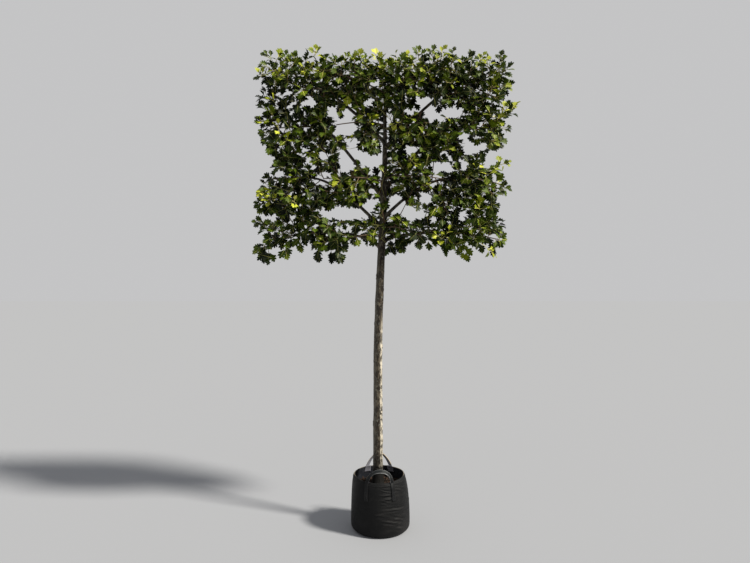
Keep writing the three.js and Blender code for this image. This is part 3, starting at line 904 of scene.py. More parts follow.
# %% Loose chips
CHIP_SEED = 5
CHIP_COUNT = 340
CHIP_BROWNS = [rgb(22, 17, 13), rgb(32, 24, 18), rgb(46, 34, 25), rgb(72, 52, 38)]
CHIP_STREAKS = rgb(34, 27, 21)
CHIP_RADII = (0.5, 0.8, 0.4)  # at one end, in the middle and at the other end, over its width
CHIP_SIDES = 5
CHIP_SMALLEST = (0.004, 0.003, 0.006)
CHIP_LARGEST = (0.010, 0.006, 0.022)
CHIP_UNEVEN = (0.8, 1.2)
CHIP_LIFT = 0.0015
CHIP_MARGIN = 0.012  # from the outermost chips to the cloth
CHIP_FREE = 0.06  # share of the soil, round the stem, that has none


def chip_bark(number, brown):
    chip = Finish(f"chip_bark_{number}", Specular_IOR_Level=0.25, Roughness=0.85)
    streaks = chip.place().grain(220.0, 3.0)
    return chip.vary(Base_Color=(streaks * 0.7).tint(brown, CHIP_STREAKS))


def make_chips():
    draw = np.random.default_rng(CHIP_SEED)
    chips = Heap()
    lump = rings([Vector((0, 0, z)) for z in (-0.5, 0, 0.5)], CHIP_RADII, CHIP_SIDES)
    faces = grid_faces(len(CHIP_RADII), CHIP_SIDES)
    for _ in range(CHIP_COUNT):
        radius = (SOIL_RADIUS - CHIP_MARGIN) * math.sqrt(draw.uniform(CHIP_FREE, 1))
        angle = draw.uniform(0, math.tau)
        x, y = radius * math.sin(angle) + slump(SOIL_LEVEL), -radius * math.cos(angle)
        turn = Quaternion(draw.normal(size=3), draw.uniform(0, math.tau)).normalized()
        size = Vector(draw.uniform(CHIP_SMALLEST, CHIP_LARGEST))
        middle = Vector((x, y, soil_height(x, y) + CHIP_LIFT))
        shape = [middle + turn @ (size * (p * draw.uniform(*CHIP_UNEVEN))) for p in lump]
        chips.add(shape, faces, int(draw.integers(len(CHIP_BROWNS))))
    browns = [chip_bark(number, brown) for number, brown in enumerate(CHIP_BROWNS)]
    chips.piece("bark_chips", "soil", browns)


make_chips()

# %% [markdown]
# ## Bark
# Young bark on such a tree is dark grey-brown and mottled, with paler patches between shallow upright
# cracks, pores, and small spots of lichen. Along the side that faces the sun a cream strip, which dark
# blots break up, is painted sunlight, and it fades out higher up, as painted shade of the crown. The
# half turned from the sun is painted a paler grey, as painted light, and the foot inside the bag is
# painted black, as painted shade. A picture of bark would show where it repeats along so long a stem.
# So coarse relief is pushed into the mesh itself, and the finish adds what is finer than the mesh, from
# noise that is stretched along the stem.

# %% Bark finish
SUNLIT_STRIP_HEIGHTS = (1.08, 1.36)  # over which the painted sunlit strip fades out, as painted shade of the crown
FOOT_SHADE_HEIGHTS = (0.33, 0.48)  # over which the painted shade of the foot fades out
SUNLIT_STRIP_FACING = (0.53, 0.67)  # how squarely bark faces the sun, from no painted sunlight to full
SHADED_HALF_LIGHT_FACING = (-0.55, 0.30)  # from full painted light, on the half turned from the sun, to none


def stem_bark():
    bark = Finish("stem_bark", Specular_IOR_Level=0.25)
    place = bark.place()
    height = place.axis("Z")
    plates = place.scaled((1.0, 1.0, 0.2)).grain(130.0, 5.0, 0.62)
    cracks = 1 - plates.step(0.36, 0.50)
    patches = place.scaled((1.0, 1.0, 0.5)).grain(40.0, 4.0, 0.7).step(0.46, 0.60)
    blots = place.scaled((1.0, 1.0, 0.6)).grain(58.0, 4.0, 0.7).step(0.47, 0.55)
    lichen = place.scaled((1.0, 1.0, 0.7)).grain(84.0, 4.0, 0.7).step(0.57, 0.66)
    pores = place.scaled((1.0, 1.0, 4.5)).grain(150.0, 2.0).step(0.66, 0.72)
    facing_sun = bark.place("Normal").towards(TO_SUN)
    # Painted light: the half of the stem turned from the sun is painted a paler grey, and the front between
    # is left darker.
    painted_shaded_half_light = 1 - facing_sun.step(*SHADED_HALF_LIGHT_FACING)
    # Painted sunlight: a cream strip where the bark faces the sun, fading out higher up as painted shade of
    # the crown.
    painted_sunlight = facing_sun.step(*SUNLIT_STRIP_FACING) * (1 - height.step(*SUNLIT_STRIP_HEIGHTS)) * (1 - blots * 0.85)
    # Painted shade: the foot of the stem, inside the bag, is painted black.
    painted_foot_shade = 1 - height.step(*FOOT_SHADE_HEIGHTS)
    colour = patches.tint(rgb(36, 30, 24), rgb(80, 73, 61))
    colour = (painted_shaded_half_light * 0.55).tint(colour, rgb(124, 119, 108))
    colour = (pores * 0.5).tint(colour, rgb(112, 103, 90))
    colour = painted_sunlight.tint(colour, rgb(182, 174, 157))
    colour = (lichen * 0.45).tint(colour, rgb(140, 142, 132))
    colour = (cracks * 0.7).tint(colour, rgb(34, 30, 25))
    return bark.vary(
        Base_Color=painted_foot_shade.tint(colour, rgb(13, 12, 9)),
        Roughness=0.78 + cracks * 0.15,
        Normal=(plates * 0.8 + lichen * 0.2 + pores * 0.2).relief(0.0022, 0.9),
    )


STEM_BARK = stem_bark()
print("bark finish:", STEM_BARK.name)

# %% [markdown]
# ## The stem
# The stem leans a little to the right, tapers, and flares where it meets the soil. Old side shoots were
# cut off it, and each cut has healed to a small ring. A tube is the right start: rings of points along
# a middle line, pushed in and out by bark noise and by the knots, so that its outline is rough as well
# as its face.

# %% The stem's line
TRUNK_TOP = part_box("trunk")[1].z
CROWN_FOOT = 1.585
TRUNK_RADII = (0.030, 0.0235, 0.006)  # at the foot, at the crown's foot and at the tip
TIP_POWER = 1.3  # above 1, the stem thins out late
TRUNK_FLARE = 0.009
TRUNK_FLARE_FADE = 0.035
TRUNK_FOOT_X = -0.015
TRUNK_LEAN = 0.042
TRUNK_LEAN_SPAN = (1.000, 2.350)
TRUNK_BOW = 0.007


def trunk_centre(height):
    lean = smoothstep(height, *TRUNK_LEAN_SPAN)
    bow = math.sin(height / TRUNK_TOP * math.tau)
    return Vector((TRUNK_FOOT_X + TRUNK_LEAN * lean, TRUNK_BOW * bow, height))


def trunk_radius(height):
    foot, crown, tip = TRUNK_RADII
    if height < CROWN_FOOT:
        plain = lerp(foot, crown, max(0.0, (height - SOIL_LEVEL) / (CROWN_FOOT - SOIL_LEVEL)))
    else:
        plain = lerp(crown, tip, ((height - CROWN_FOOT) / (TRUNK_TOP - CROWN_FOOT)) ** TIP_POWER)
    return plain + TRUNK_FLARE * math.exp(min(0.0, SOIL_LEVEL - height) / TRUNK_FLARE_FADE)


print("girth of the stem at 1 m:", round(trunk_radius(1.0) * math.tau, 3), "m")

# %% Ridges and knots
RIDGES = (120, 20)  # of bark to a metre, across and up
RIDGE_NOISE = (0.7, 2.1, 4)  # how fast finer ridges fade, how much finer each is, and how many
RIDGE_SHARE = 0.7  # of the bark's depth
WAVES = (20, 9)
WAVE_SHARE = 1.1
TWIG_TURN = 2.4  # radians round a stem from one side shoot to the next
KNOT_SEED = 3
KNOT_COUNT = 11
KNOT_FOOT = 0.08  # above the soil, where the stem has none
KNOT_PLACES = (0.1, 0.9)  # of a knot in its own share of the stem
KNOT_STRAY = 0.4  # radians
KNOT_SIZE = 0.011
KNOT_SIZES = (0.7, 1.2)


def stretched(point, across, up):
    return Vector((point.x * across, point.y * across, point.z * up))


def bark_relief(point, depth):
    """Upright ridges and slow waves of bark at a point."""
    ridges = noise.fractal(stretched(point, *RIDGES), *RIDGE_NOISE)
    waves = noise.noise(stretched(point, *WAVES))
    return depth * (RIDGE_SHARE * ridges + WAVE_SHARE * waves)


def make_knots():
    draw = np.random.default_rng(KNOT_SEED)
    knots = []
    for i in range(KNOT_COUNT):
        share = (i + draw.uniform(*KNOT_PLACES)) / KNOT_COUNT
        height = lerp(SOIL_LEVEL + KNOT_FOOT, CROWN_FOOT, share)
        angle = i * TWIG_TURN + draw.uniform(-KNOT_STRAY, KNOT_STRAY)
        radius = trunk_radius(height)
        aside = Vector((math.sin(angle) * radius, -math.cos(angle) * radius, 0))
        knots.append((trunk_centre(height) + aside, KNOT_SIZE * draw.uniform(*KNOT_SIZES)))
    return knots


KNOTS = make_knots()
print("knots:", len(KNOTS))

# %% The stem with its relief
TRUNK_SUNK = 0.020  # below the top of the soil
TRUNK_RINGS = 520
TRUNK_SIDES = 56
TRUNK_ROUGH = 0.0013
KNOT_REACH = 3  # how far up and down a knot shows, over its size
KNOT_RING = {"height": 0.0030, "away": 0.9, "sharp": 3}  # the healed ring
KNOT_DIP = {"depth": 0.0016, "sharp": 6}  # the sunk middle


def trunk_relief(point):
    out = bark_relief(point, TRUNK_ROUGH)
    for middle, size in KNOTS:
        if abs(point.z - middle.z) > KNOT_REACH * size:
            continue
        away = (point - middle).length / size
        ring = KNOT_RING["height"] * math.exp(-((away - KNOT_RING["away"]) ** 2) * KNOT_RING["sharp"])
        dip = KNOT_DIP["depth"] * math.exp(-(away**2) * KNOT_DIP["sharp"])
        out += ring - dip
    return out


def make_trunk():
    foot = SOIL_LEVEL - TRUNK_SUNK
    heights = [lerp(foot, TRUNK_TOP, i / TRUNK_RINGS) for i in range(TRUNK_RINGS + 1)]
    path = [trunk_centre(height) for height in heights]
    radii = [trunk_radius(height) for height in heights]
    points = rings(path, radii, TRUNK_SIDES, trunk_relief)
    faces = grid_faces(len(path), TRUNK_SIDES)
    make_piece("trunk_bark", points, faces, [STEM_BARK], replaced=["trunk"])


make_trunk()

# %% [markdown]
# ## Boughs
# Eight boughs leave the stem, one to each side in four tiers. Each leaves it at a slant and is bent
# down level, as a gardener ties it, and it is thicker where it joins. A pipe with a bend would be as
# thick all along. A smooth curve past an elbow, with a radius that tapers and a collar at its foot,
# reads as grown wood.

# %% The boughs
SIDES = {"left": -1, "right": 1}
PANEL_MIDDLE = 0.020
TIERS = [
    {"name": "low", "ceiling": 1.930, "level": 1.785, "reach": 0.400},
    {"name": "lower_mid", "ceiling": 2.275, "level": 2.120, "reach": 0.470},
    {"name": "upper_mid", "ceiling": 2.610, "level": 2.430, "reach": 0.390},
    {"name": "top", "ceiling": 2.920, "level": 2.665, "reach": 0.450},
]
BOUGH_FORKS = {"left": (1.690, 1.810, 1.985, 2.330), "right": (1.720, 1.870, 2.040, 2.300)}
BOUGH_RISE = 0.8  # radians above level where a bough leaves the stem
BOUGH_ELBOW = 0.85  # furthest place of its elbow, as a share of its reach
BOUGH_PULLS = (0.8, 0.3)  # how far its curve follows the slant and the level
BOUGH_RADII = (0.010, 0.006)
BOUGH_COLLAR = 0.005
BOUGH_COLLAR_FADE = 0.02
BOUGH_ROUGH = 0.0008
BOUGH_STEPS = 90
BOUGH_SIDES = 18


def bough_path(tier, fork, out):
    foot = trunk_centre(fork)
    tip = Vector((PANEL_MIDDLE + out * tier["reach"], 0, tier["level"]))
    run = min((tier["level"] - fork) / math.tan(BOUGH_RISE), tier["reach"] * BOUGH_ELBOW)
    elbow = Vector((foot.x + out * run, foot.y, tier["level"]))
    slant, level = BOUGH_PULLS
    curve = bezier(foot, foot.lerp(elbow, slant), elbow.lerp(tip, level), tip)
    return [curve(i / BOUGH_STEPS) for i in range(BOUGH_STEPS + 1)]


def make_bough(side, level):
    tier = TIERS[level]
    path = bough_path(tier, BOUGH_FORKS[side][level], SIDES[side])
    radii = []
    for i, point in enumerate(path):
        clear = (point - path[0]).length - trunk_radius(path[0].z)
        collar = BOUGH_COLLAR * math.exp(-max(0.0, clear) / BOUGH_COLLAR_FADE)
        radii.append(lerp(*BOUGH_RADII, i / BOUGH_STEPS) + collar)
    points = rings(path, radii, BOUGH_SIDES, lambda point: bark_relief(point, BOUGH_ROUGH))
    node = f"bough_{side}_{tier['name']}"
    faces = grid_faces(len(path), BOUGH_SIDES)
    make_piece(f"{node}_bark", points, faces, [STEM_BARK], replaced=[node])
    return path


BOUGHS = {(side, level): make_bough(side, level) for level in range(len(TIERS)) for side in SIDES}

# %% [markdown]
# ## The clipped panel
# Before anything grows, the crown needs its outline. The foliage solids give how far it reaches. Inside
# that reach the clipped faces are a little uneven, the sides have notches, the underside hangs in
# lobes, and daylight shows through. The large openings and the notches are listed one by one. Small
# openings come from noise, most of them in the thin seams between two tiers. A gap shows only if all of
# the crown's depth is open along one line of sight, so places are compared where they appear on the
# panel's middle plane, seen from the camera. In the same way leaves keep clear of most of the stem,
# which shows right up to the third tier.

# %% The crown's reach
foliage_boxes = [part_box(name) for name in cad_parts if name.startswith("foliage")]
REACH_LOW = Vector(min(low[axis] for low, high in foliage_boxes) for axis in range(3))
REACH_HIGH = Vector(max(high[axis] for low, high in foliage_boxes) for axis in range(3))


def in_reach(point):
    return all(low < value < high for low, value, high in zip(REACH_LOW, point, REACH_HIGH))


print("crown reach:", [round(x, 3) for x in REACH_LOW], [round(x, 3) for x in REACH_HIGH])

# %% The crown's outline
LEFT_ROOM = 0.068  # from the reach to the outermost sprays on the left
RIGHT_ROOM = 0.055
TOP_ROOM = 0.106
FOOT_ROOM = 0.146
FACE_ROOM = 0.058
UNEVEN = 0.018
FACE_UNEVEN = 0.6 * UNEVEN
SIDE_WAVES = (6, 14)  # of unevenness to a metre, in depth and up
TOP_WAVES = (16, 8)  # across and in depth
FOOT_WAVES = (11, 8)  # across and in depth
FACE_WAVES = (7, 7)  # across and up
TOP_RIGHT_FALL = 0.045  # how far the top drops at its right end
TOP_RIGHT = (0.50, 0.64)  # from where it starts to drop to where it has
LOW_RIGHT_IN = 0.062  # how far the lower right edge stands back
LOW_RIGHT = (2.20, 2.42)  # from where that edge comes out again to where it has
LOBE_PITCH = 0.38  # of the lobes that the underside hangs in
LOBE_PLACE = -0.30  # where one of them is lowest
LOBE_DEPTH = 0.042
BORDER_THIN = 0.4  # how much thinner the panel is at its border
BORDER_POWER = 8

# Notches of the left and right edge: middle, half height and depth of each.
NOTCHES = {
    "left": [(1.745, 0.030, 0.030), (2.210, 0.110, 0.072), (2.630, 0.030, 0.025)],
    "right": [(1.940, 0.035, 0.065), (2.110, 0.035, 0.060), (2.275, 0.045, 0.095), (2.590, 0.040, 0.090)],
}


def wave(*place):
    """Slow random change from about -1 to 1. A fixed number in the place tells one wave from another."""
    return noise.noise(Vector(place))


def notch(side, z):
    """How far one edge of the crown draws in at a height."""
    return sum(depth * math.exp(-(((z - middle) / half) ** 2)) for middle, half, depth in NOTCHES[side])


def in_panel(point):
    """Whether a spray may stand here, with room for its leaves inside the crown's reach."""
    x, y, z = point
    side_place = (y * SIDE_WAVES[0], z * SIDE_WAVES[1])
    left = LEFT_ROOM + notch("left", z) + UNEVEN * wave(3.0, *side_place)
    right = RIGHT_ROOM + notch("right", z) + UNEVEN * wave(8.0, *side_place)
    right += LOW_RIGHT_IN * (1 - smoothstep(z, *LOW_RIGHT))
    top = TOP_ROOM + UNEVEN * wave(x * TOP_WAVES[0], y * TOP_WAVES[1], 5.0)
    top += TOP_RIGHT_FALL * smoothstep(x, *TOP_RIGHT)
    lobe = math.cos((x - LOBE_PLACE) / LOBE_PITCH * math.tau)
    foot = FOOT_ROOM - LOBE_DEPTH * lobe + UNEVEN * wave(x * FOOT_WAVES[0], y * FOOT_WAVES[1], 9.0)
    across = (x - REACH_LOW.x) / (REACH_HIGH.x - REACH_LOW.x) * 2 - 1
    up = (z - REACH_LOW.z) / (REACH_HIGH.z - REACH_LOW.z) * 2 - 1
    rounding = 1 - BORDER_THIN * max(abs(across), abs(up)) ** BORDER_POWER
    face_wave = wave(x * FACE_WAVES[0], 1.0, z * FACE_WAVES[1])
    half_depth = (REACH_HIGH.y - FACE_ROOM) * rounding + FACE_UNEVEN * face_wave
    return (
        REACH_LOW.x + left < x < REACH_HIGH.x - right
        and REACH_LOW.z + foot < z < REACH_HIGH.z - top
        and abs(y) < half_depth
    )


print("a spray may stand in the panel's middle:", in_panel(REACH_LOW.lerp(REACH_HIGH, 0.5)))

# %% Daylight through the crown
SEAMS = (1.905, 2.225, 2.535)  # heights between two tiers, where the crown is thin
SEAM_HEIGHT = 0.070
THIN_WAVES = (14, 18)  # of the noise for small openings, to a metre, across and up
THIN = (0.45, 0.34)  # noise above which a place is open, in a tier and in a seam
RAGGED = 0.026  # how far leaves reach into the daylight or stand back from it
RAGS = 24  # waves of that to a metre

# Daylight: middle and size of each opening, across and up.
DAYLIGHT = [
    (-0.435, 2.570, 0.090, 0.075),
    (-0.600, 2.420, 0.060, 0.050),
    (-0.290, 2.520, 0.090, 0.090),
    (-0.190, 2.490, 0.100, 0.090),
    (-0.200, 2.413, 0.130, 0.075),
    (-0.180, 2.335, 0.100, 0.055),
    (-0.165, 2.258, 0.190, 0.085),
    (-0.200, 2.190, 0.130, 0.060),
    (-0.045, 2.205, 0.080, 0.130),
    (-0.420, 2.200, 0.070, 0.060),
    (-0.345, 2.105, 0.090, 0.070),
    (-0.205, 1.906, 0.330, 0.095),
    (-0.055, 1.955, 0.080, 0.070),
    (0.100, 1.965, 0.110, 0.120),
    (0.210, 1.902, 0.160, 0.080),
    (0.285, 2.000, 0.090, 0.070),
    (0.265, 2.575, 0.110, 0.085),
    (0.315, 2.505, 0.110, 0.100),
    (0.450, 2.515, 0.140, 0.075),
    (0.515, 2.365, 0.080, 0.080),
    (0.570, 2.305, 0.150, 0.055),
    (0.370, 2.185, 0.140, 0.085),
    (0.335, 2.100, 0.100, 0.070),
    (0.185, 2.285, 0.100, 0.050),
    (0.510, 2.190, 0.070, 0.060),
    (0.660, 2.215, 0.080, 0.080),
    (0.500, 1.885, 0.080, 0.060),
]


def seen_at(point):
    """Where a point appears on the panel's middle plane, across and up."""
    nearer = -EYE.y / (point.y - EYE.y)
    return EYE.x + (point.x - EYE.x) * nearer, EYE.z + (point.z - EYE.z) * nearer


def in_daylight(point):
    x, z = seen_at(point)
    x += RAGGED * wave(x * RAGS, 2.0, z * RAGS)
    z += RAGGED * wave(x * RAGS, 7.0, z * RAGS)
    seam = max(math.exp(-(((z - middle) / SEAM_HEIGHT) ** 2)) for middle in SEAMS)
    thin = wave(x * THIN_WAVES[0], 4.0, z * THIN_WAVES[1]) > lerp(*THIN, seam)
    return thin or any(
        (2 * (x - middle_x) / width) ** 2 + (2 * (z - middle_z) / height) ** 2 < 1
        for middle_x, middle_z, width, height in DAYLIGHT
    )


print("openings placed by hand:", len(DAYLIGHT))

# %% Where the stem shows
STEM_VIEW = 0.036  # half the width of the strip in which it shows
STEM_VIEW_TOP = 2.56
STEM_COVER = -0.2  # noise up to which leaves may cover it
STEM_WAVES = 9  # of that noise to a metre


def hides_stem(point):
    """Whether a leaf here covers the stem, which shows between leaves for most of its height."""
    x, z = seen_at(point)
    before = point.y < 0 and z < STEM_VIEW_TOP and abs(x - trunk_centre(z).x) <= STEM_VIEW
    return before and wave(3.0, 6.0, z * STEM_WAVES) > STEM_COVER


print("the stem shows up to", STEM_VIEW_TOP, "m")

# %% [markdown]
# ## Twigs by rule
# Twigs that are scattered by chance would hang in the air, so the crown grows as in the solid model. A
# stem runs on from each bough's tip, and another leaves the trunk in front of each bough. Side twigs
# leave a stem one by one, each turned 2.4 radians further round it than the last, which leaves no side
# bare. The same rule then runs again on the twigs, and on what grows from them, each time shorter. A
# twig that doesn't fit is turned or shortened, and one whose tip comes too close to another spray isn't
# grown. So the sprays end up evenly spread, whatever the shape of the crown.

# %% Room between sprays
SPRAY_GAP = 0.057  # between the tips of two twigs


class Sprays:
    """Where sprays stand, with a quick test of whether a place is too close to one."""

    def __init__(self):
        self.cells = {}

    def cell(self, point):
        return tuple(math.floor(value / SPRAY_GAP) for value in point)

    def crowded(self, point):
        i, j, k = self.cell(point)
        near = [(i + a, j + b, k + c) for a in (-1, 0, 1) for b in (-1, 0, 1) for c in (-1, 0, 1)]
        return any((point - other).length < SPRAY_GAP for key in near for other in self.cells.get(key, ()))

    def add(self, point):
        self.cells.setdefault(self.cell(point), []).append(point)


print("tips of twigs keep", SPRAY_GAP, "m apart")

# %% One twig
LIMB_ROOM = 0.006  # from the trunk's bark to a twig's middle line
RUN_STEP = 0.012
TWIG_SHIFTS = (0.0, 0.7, -0.7, 1.4)  # radians by which a twig is turned until it fits
TWIG_SHARES = (1.0, 0.7, 0.45)  # lengths that are tried, over the room there is
TWIG_LENGTHS = (0.8, 1.0)
TWIG_STRAY = 0.05
TWIG_RISE = 0.10
TWIG_STEPS = 4


def off_trunk(point):
    if point.z > TRUNK_TOP:
        return True
    return (point - trunk_centre(point.z)).length > trunk_radius(point.z) + LIMB_ROOM


def free_run(root, heading, longest):
    """How far a straight twig runs before it leaves the panel."""
    length = 0.0
    while length < longest and in_panel(root + heading * (length + RUN_STEP)):
        length += RUN_STEP
    return length


def side_twig(root, along, angle, order, sprays, draw):
    """A twig that leaves its parent at an angle round it, or nothing where none fits."""
    across = along.orthogonal().normalized()
    for shift in TWIG_SHIFTS:
        heading = along * order["lean"] + Quaternion(along, angle + shift) @ across
        heading.normalize()
        room = free_run(root, heading, order["longest"])
        for share in TWIG_SHARES:
            length = max(order["shortest"], room * share * draw.uniform(*TWIG_LENGTHS))
            bend = Vector(draw.normal(0, TWIG_STRAY, 3)) + Vector((0, 0, TWIG_RISE))
            tip = root + (heading + bend) * length
            if not in_panel(tip) or sprays.crowded(tip):
                continue
            curve = bezier(root, root + heading * (length / 2), tip)
            path = [curve(i / TWIG_STEPS) for i in range(TWIG_STEPS + 1)]
            if all(off_trunk(point) and not in_daylight(point) for point in path[1:]):
                return path
    return None


print("tries for one twig:", len(TWIG_SHIFTS) * len(TWIG_SHARES))

# %% A stem for each mass
PARTS = ("inner", "outer")  # of a tier's foliage on one side
STEM_FORKS = {"left": (1.765, 2.090, 2.430, 2.632), "right": (1.815, 2.110, 2.410, 2.668)}
STEM_RADII = (0.0055, 0.0030)
STEM_STEPS = 24
STEM_BEND = 0.4  # how far a stem keeps its first heading, over its length
STEM_STRAY = 0.015
STEM_LEVELS = (0.42, 0.55)  # of a stem's tip, over the height of its mass
INNER_HEADING = (0.75, -0.8, 0.2)  # across, in depth and up, where a stem leaves the trunk
INNER_STEM_DEPTH = -0.058
TIP_ROOM = 0.103


def mass_stem(side, level, part, draw):
    """The stem of one mass, on from a bough's tip or out of the trunk and past the front of the boughs."""
    tier = TIERS[level]
    out = SIDES[side]
    low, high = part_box(f"foliage_{side}_{tier['name']}_{part}")
    bough = BOUGHS[side, level]
    if part == "outer":
        start = bough[-1]
        heading = (bough[-1] - bough[-2]).normalized()
        depth = 0.0
    else:
        start = trunk_centre(STEM_FORKS[side][level])
        across, deep, up = INNER_HEADING
        heading = Vector((out * across, deep, up)).normalized()
        depth = INNER_STEM_DEPTH
    end_x = high.x - TIP_ROOM if out > 0 else low.x + TIP_ROOM
    end_y = depth + draw.uniform(-STEM_STRAY, STEM_STRAY)
    end_z = lerp(low.z, high.z, draw.uniform(*STEM_LEVELS))
    end = Vector((end_x, end_y, end_z))
    bend = start + heading * (end - start).length * STEM_BEND
    curve = bezier(start, bend, end)
    return [curve(i / STEM_STEPS) for i in range(STEM_STEPS + 1)]


print("masses with a stem each:", len(TIERS) * len(SIDES) * len(PARTS))

# %% Twigs on twigs
TWIG_SEED = 140
BARE_STEPS = BOUGH_STEPS // 3  # of a bough, from its foot, that carry no twigs
FIRST_TWIG = 0.7  # of a pitch from a parent's foot
ORDERS = [
    {"pitch": 0.030, "lean": 0.45, "longest": 0.26, "shortest": 0.030, "radii": (0.0032, 0.0017)},
    {"pitch": 0.026, "lean": 0.60, "longest": 0.11, "shortest": 0.028, "radii": (0.0020, 0.0011)},
    {"pitch": 0.022, "lean": 0.70, "longest": 0.08, "shortest": 0.024, "radii": (0.0014, 0.0009)},
    {"pitch": 0.020, "lean": 0.70, "longest": 0.06, "shortest": 0.022, "radii": (0.0012, 0.0008)},
]


def along_path(path, pitch):
    """Evenly spaced places on a path, each with the path's direction there."""
    walked = 0.0
    due = pitch * FIRST_TWIG
    for start, end in zip(path, path[1:]):
        length = (end - start).length
        while walked + length >= due:
            yield start.lerp(end, (due - walked) / length), (end - start).normalized()
            due += pitch
        walked += length


def grow_twigs():
    """All twigs, order by order: each is its path, its radii and its order."""
    draw = np.random.default_rng(TWIG_SEED)
    sprays = Sprays()
    stems = []
    for level in range(len(TIERS)):
        for side in SIDES:
            stems += [mass_stem(side, level, part, draw) for part in PARTS]
    twigs = [(path, STEM_RADII, 0) for path in stems]
    for path in stems:
        sprays.add(path[-1])
    outer_boughs = [path[BARE_STEPS:] for path in BOUGHS.values()]
    parents = stems + outer_boughs
    for number, order in enumerate(ORDERS, start=1):
        grown = []
        for parent in parents:
            phase = draw.uniform(0, math.tau)
            for i, (root, along) in enumerate(along_path(parent, order["pitch"])):
                path = side_twig(root, along, phase + TWIG_TURN * i, order, sprays, draw)
                if path:
                    sprays.add(path[-1])
                    grown.append(path)
        twigs += [(path, order["radii"], number) for path in grown]
        print("order", number, "twigs:", len(grown))
        parents = grown
    return twigs


TWIGS = grow_twigs()

# %% [markdown]
# ## Shoots that stand out
# Some weeks after clipping, new shoots stand out of the flat faces: upright ones on top, slanting ones
# at the sides and a hanging fringe below. They give the crown its lively edge, which noise alone would
# blur. So each grows on from the nearest twig's tip and bends outwards to a place that was read off the
# photograph, and so do the short, pale young shoots on the front. Those on the back, the top and the
# right edge are dealt out by chance.

# %% Edge shoots
EDGE_SHOOTS = [
    (-0.740, 2.865), (-0.571, 2.878), (-0.518, 2.885), (-0.383, 2.905), (-0.279, 2.875), (-0.199, 2.878),
    (-0.125, 2.882), (-0.029, 2.878), (0.040, 2.870), (0.120, 2.880), (0.226, 2.905), (0.311, 2.895),
    (0.423, 2.880), (0.545, 2.895), (0.710, 2.865), (0.815, 2.720), (0.820, 2.543), (0.818, 2.430),
    (0.822, 2.215), (0.790, 2.040), (-0.762, 2.800), (-0.766, 2.460), (-0.766, 2.040), (-0.764, 1.950),
    (-0.766, 1.840), (-0.766, 1.690), (-0.752, 1.622), (-0.720, 1.598), (-0.686, 1.590), (-0.561, 1.622),
    (-0.480, 1.655), (-0.380, 1.605), (-0.300, 1.600), (-0.240, 1.600), (0.130, 1.659), (0.226, 1.680),
    (0.407, 1.648), (0.519, 1.611), (0.593, 1.653), (0.690, 1.648),
]
SHOOT_SEED = 77
SHOOT_RADII = (0.0020, 0.0011)
SHOOT_DEPTHS = (-0.10, 0.06)  # of the tips of edge shoots
SHOOT_BEND = 0.030  # length over which a shoot turns outwards
SHOOT_STRAY = 0.006
SHOOT_LEAF = 0.050  # from a shoot's tip to the tips of its last leaves


def nearest_tip(point):
    return min((path[-1] for path, radii, order in TWIGS), key=lambda tip: (tip - point).length)


def outward_at(x, z):
    """Away from the crown, across the border that is nearest."""
    room = {
        (-1, 0): x - REACH_LOW.x,
        (1, 0): REACH_HIGH.x - x,
        (0, 1): REACH_HIGH.z - z,
        (0, -1): z - REACH_LOW.z,
    }
    across, up = min(room, key=room.get)
    return Vector((across, 0, up))


def edge_shoots(draw):
    shoots = []
    for x, z in EDGE_SHOOTS:
        outward = outward_at(x, z)
        tip = Vector((x, draw.uniform(*SHOOT_DEPTHS), z)) - outward * SHOOT_LEAF
        root = nearest_tip(tip)
        sideways = Vector(draw.normal(0, SHOOT_STRAY, 3))
        curve = bezier(root, tip - outward * SHOOT_BEND + sideways, tip)
        shoots.append([curve(i / TWIG_STEPS) for i in range(TWIG_STEPS + 1)])
    return shoots


shoot_draw = np.random.default_rng(SHOOT_SEED)
EDGE = edge_shoots(shoot_draw)
print("edge shoots:", len(EDGE))

# %% Young shoots
YOUNG_FRONT = [
    (-0.715, 2.755), (-0.620, 2.740), (-0.450, 2.770), (-0.730, 2.462), (-0.622, 2.436), (-0.720, 2.025),
    (-0.684, 1.985), (-0.535, 1.983), (-0.036, 2.474), (0.093, 2.440), (0.205, 2.208), (0.380, 2.490),
    (0.434, 2.695), (0.306, 2.090), (0.604, 2.186), (0.412, 1.790), (0.346, 1.768), (0.676, 1.672),
]
YOUNG_DEPTH = -0.125  # of the tips on the front
YOUNG_BACK = 0.06  # depth from which a spray counts as on the back
YOUNG_SUN = 0.3  # sunniness from which a spray counts as at the top or the right edge
YOUNG_SHARES = (0.05, 0.20)  # of those sprays that carry one, in the shade and where it is sunniest
YOUNG_LENGTH = (0.030, 0.065)
YOUNG_ASIDE = (-0.6, 0.6)  # the way of a young shoot: to a side, out of the panel and up
YOUNG_OUT = 0.7
YOUNG_UP = (0.2, 1.0)
SUNNY_TOP = (2.62, 2.86)  # heights from the shade to the full sun
SUNNY_RIGHT = (0.45, 0.78)


def stands_at(x, z, depth):
    """The point at a depth that appears at a place on the panel's middle plane."""
    nearer = (depth - EYE.y) / -EYE.y
    return Vector((EYE.x + (x - EYE.x) * nearer, depth, EYE.z + (z - EYE.z) * nearer))


def sunniness(point):
    """From 0 in the shade to 1 at the sunlit top and right edge, where shoots are youngest and leaves are
    painted lighter.
    """
    return max(smoothstep(point.z, *SUNNY_TOP), smoothstep(point.x, *SUNNY_RIGHT))


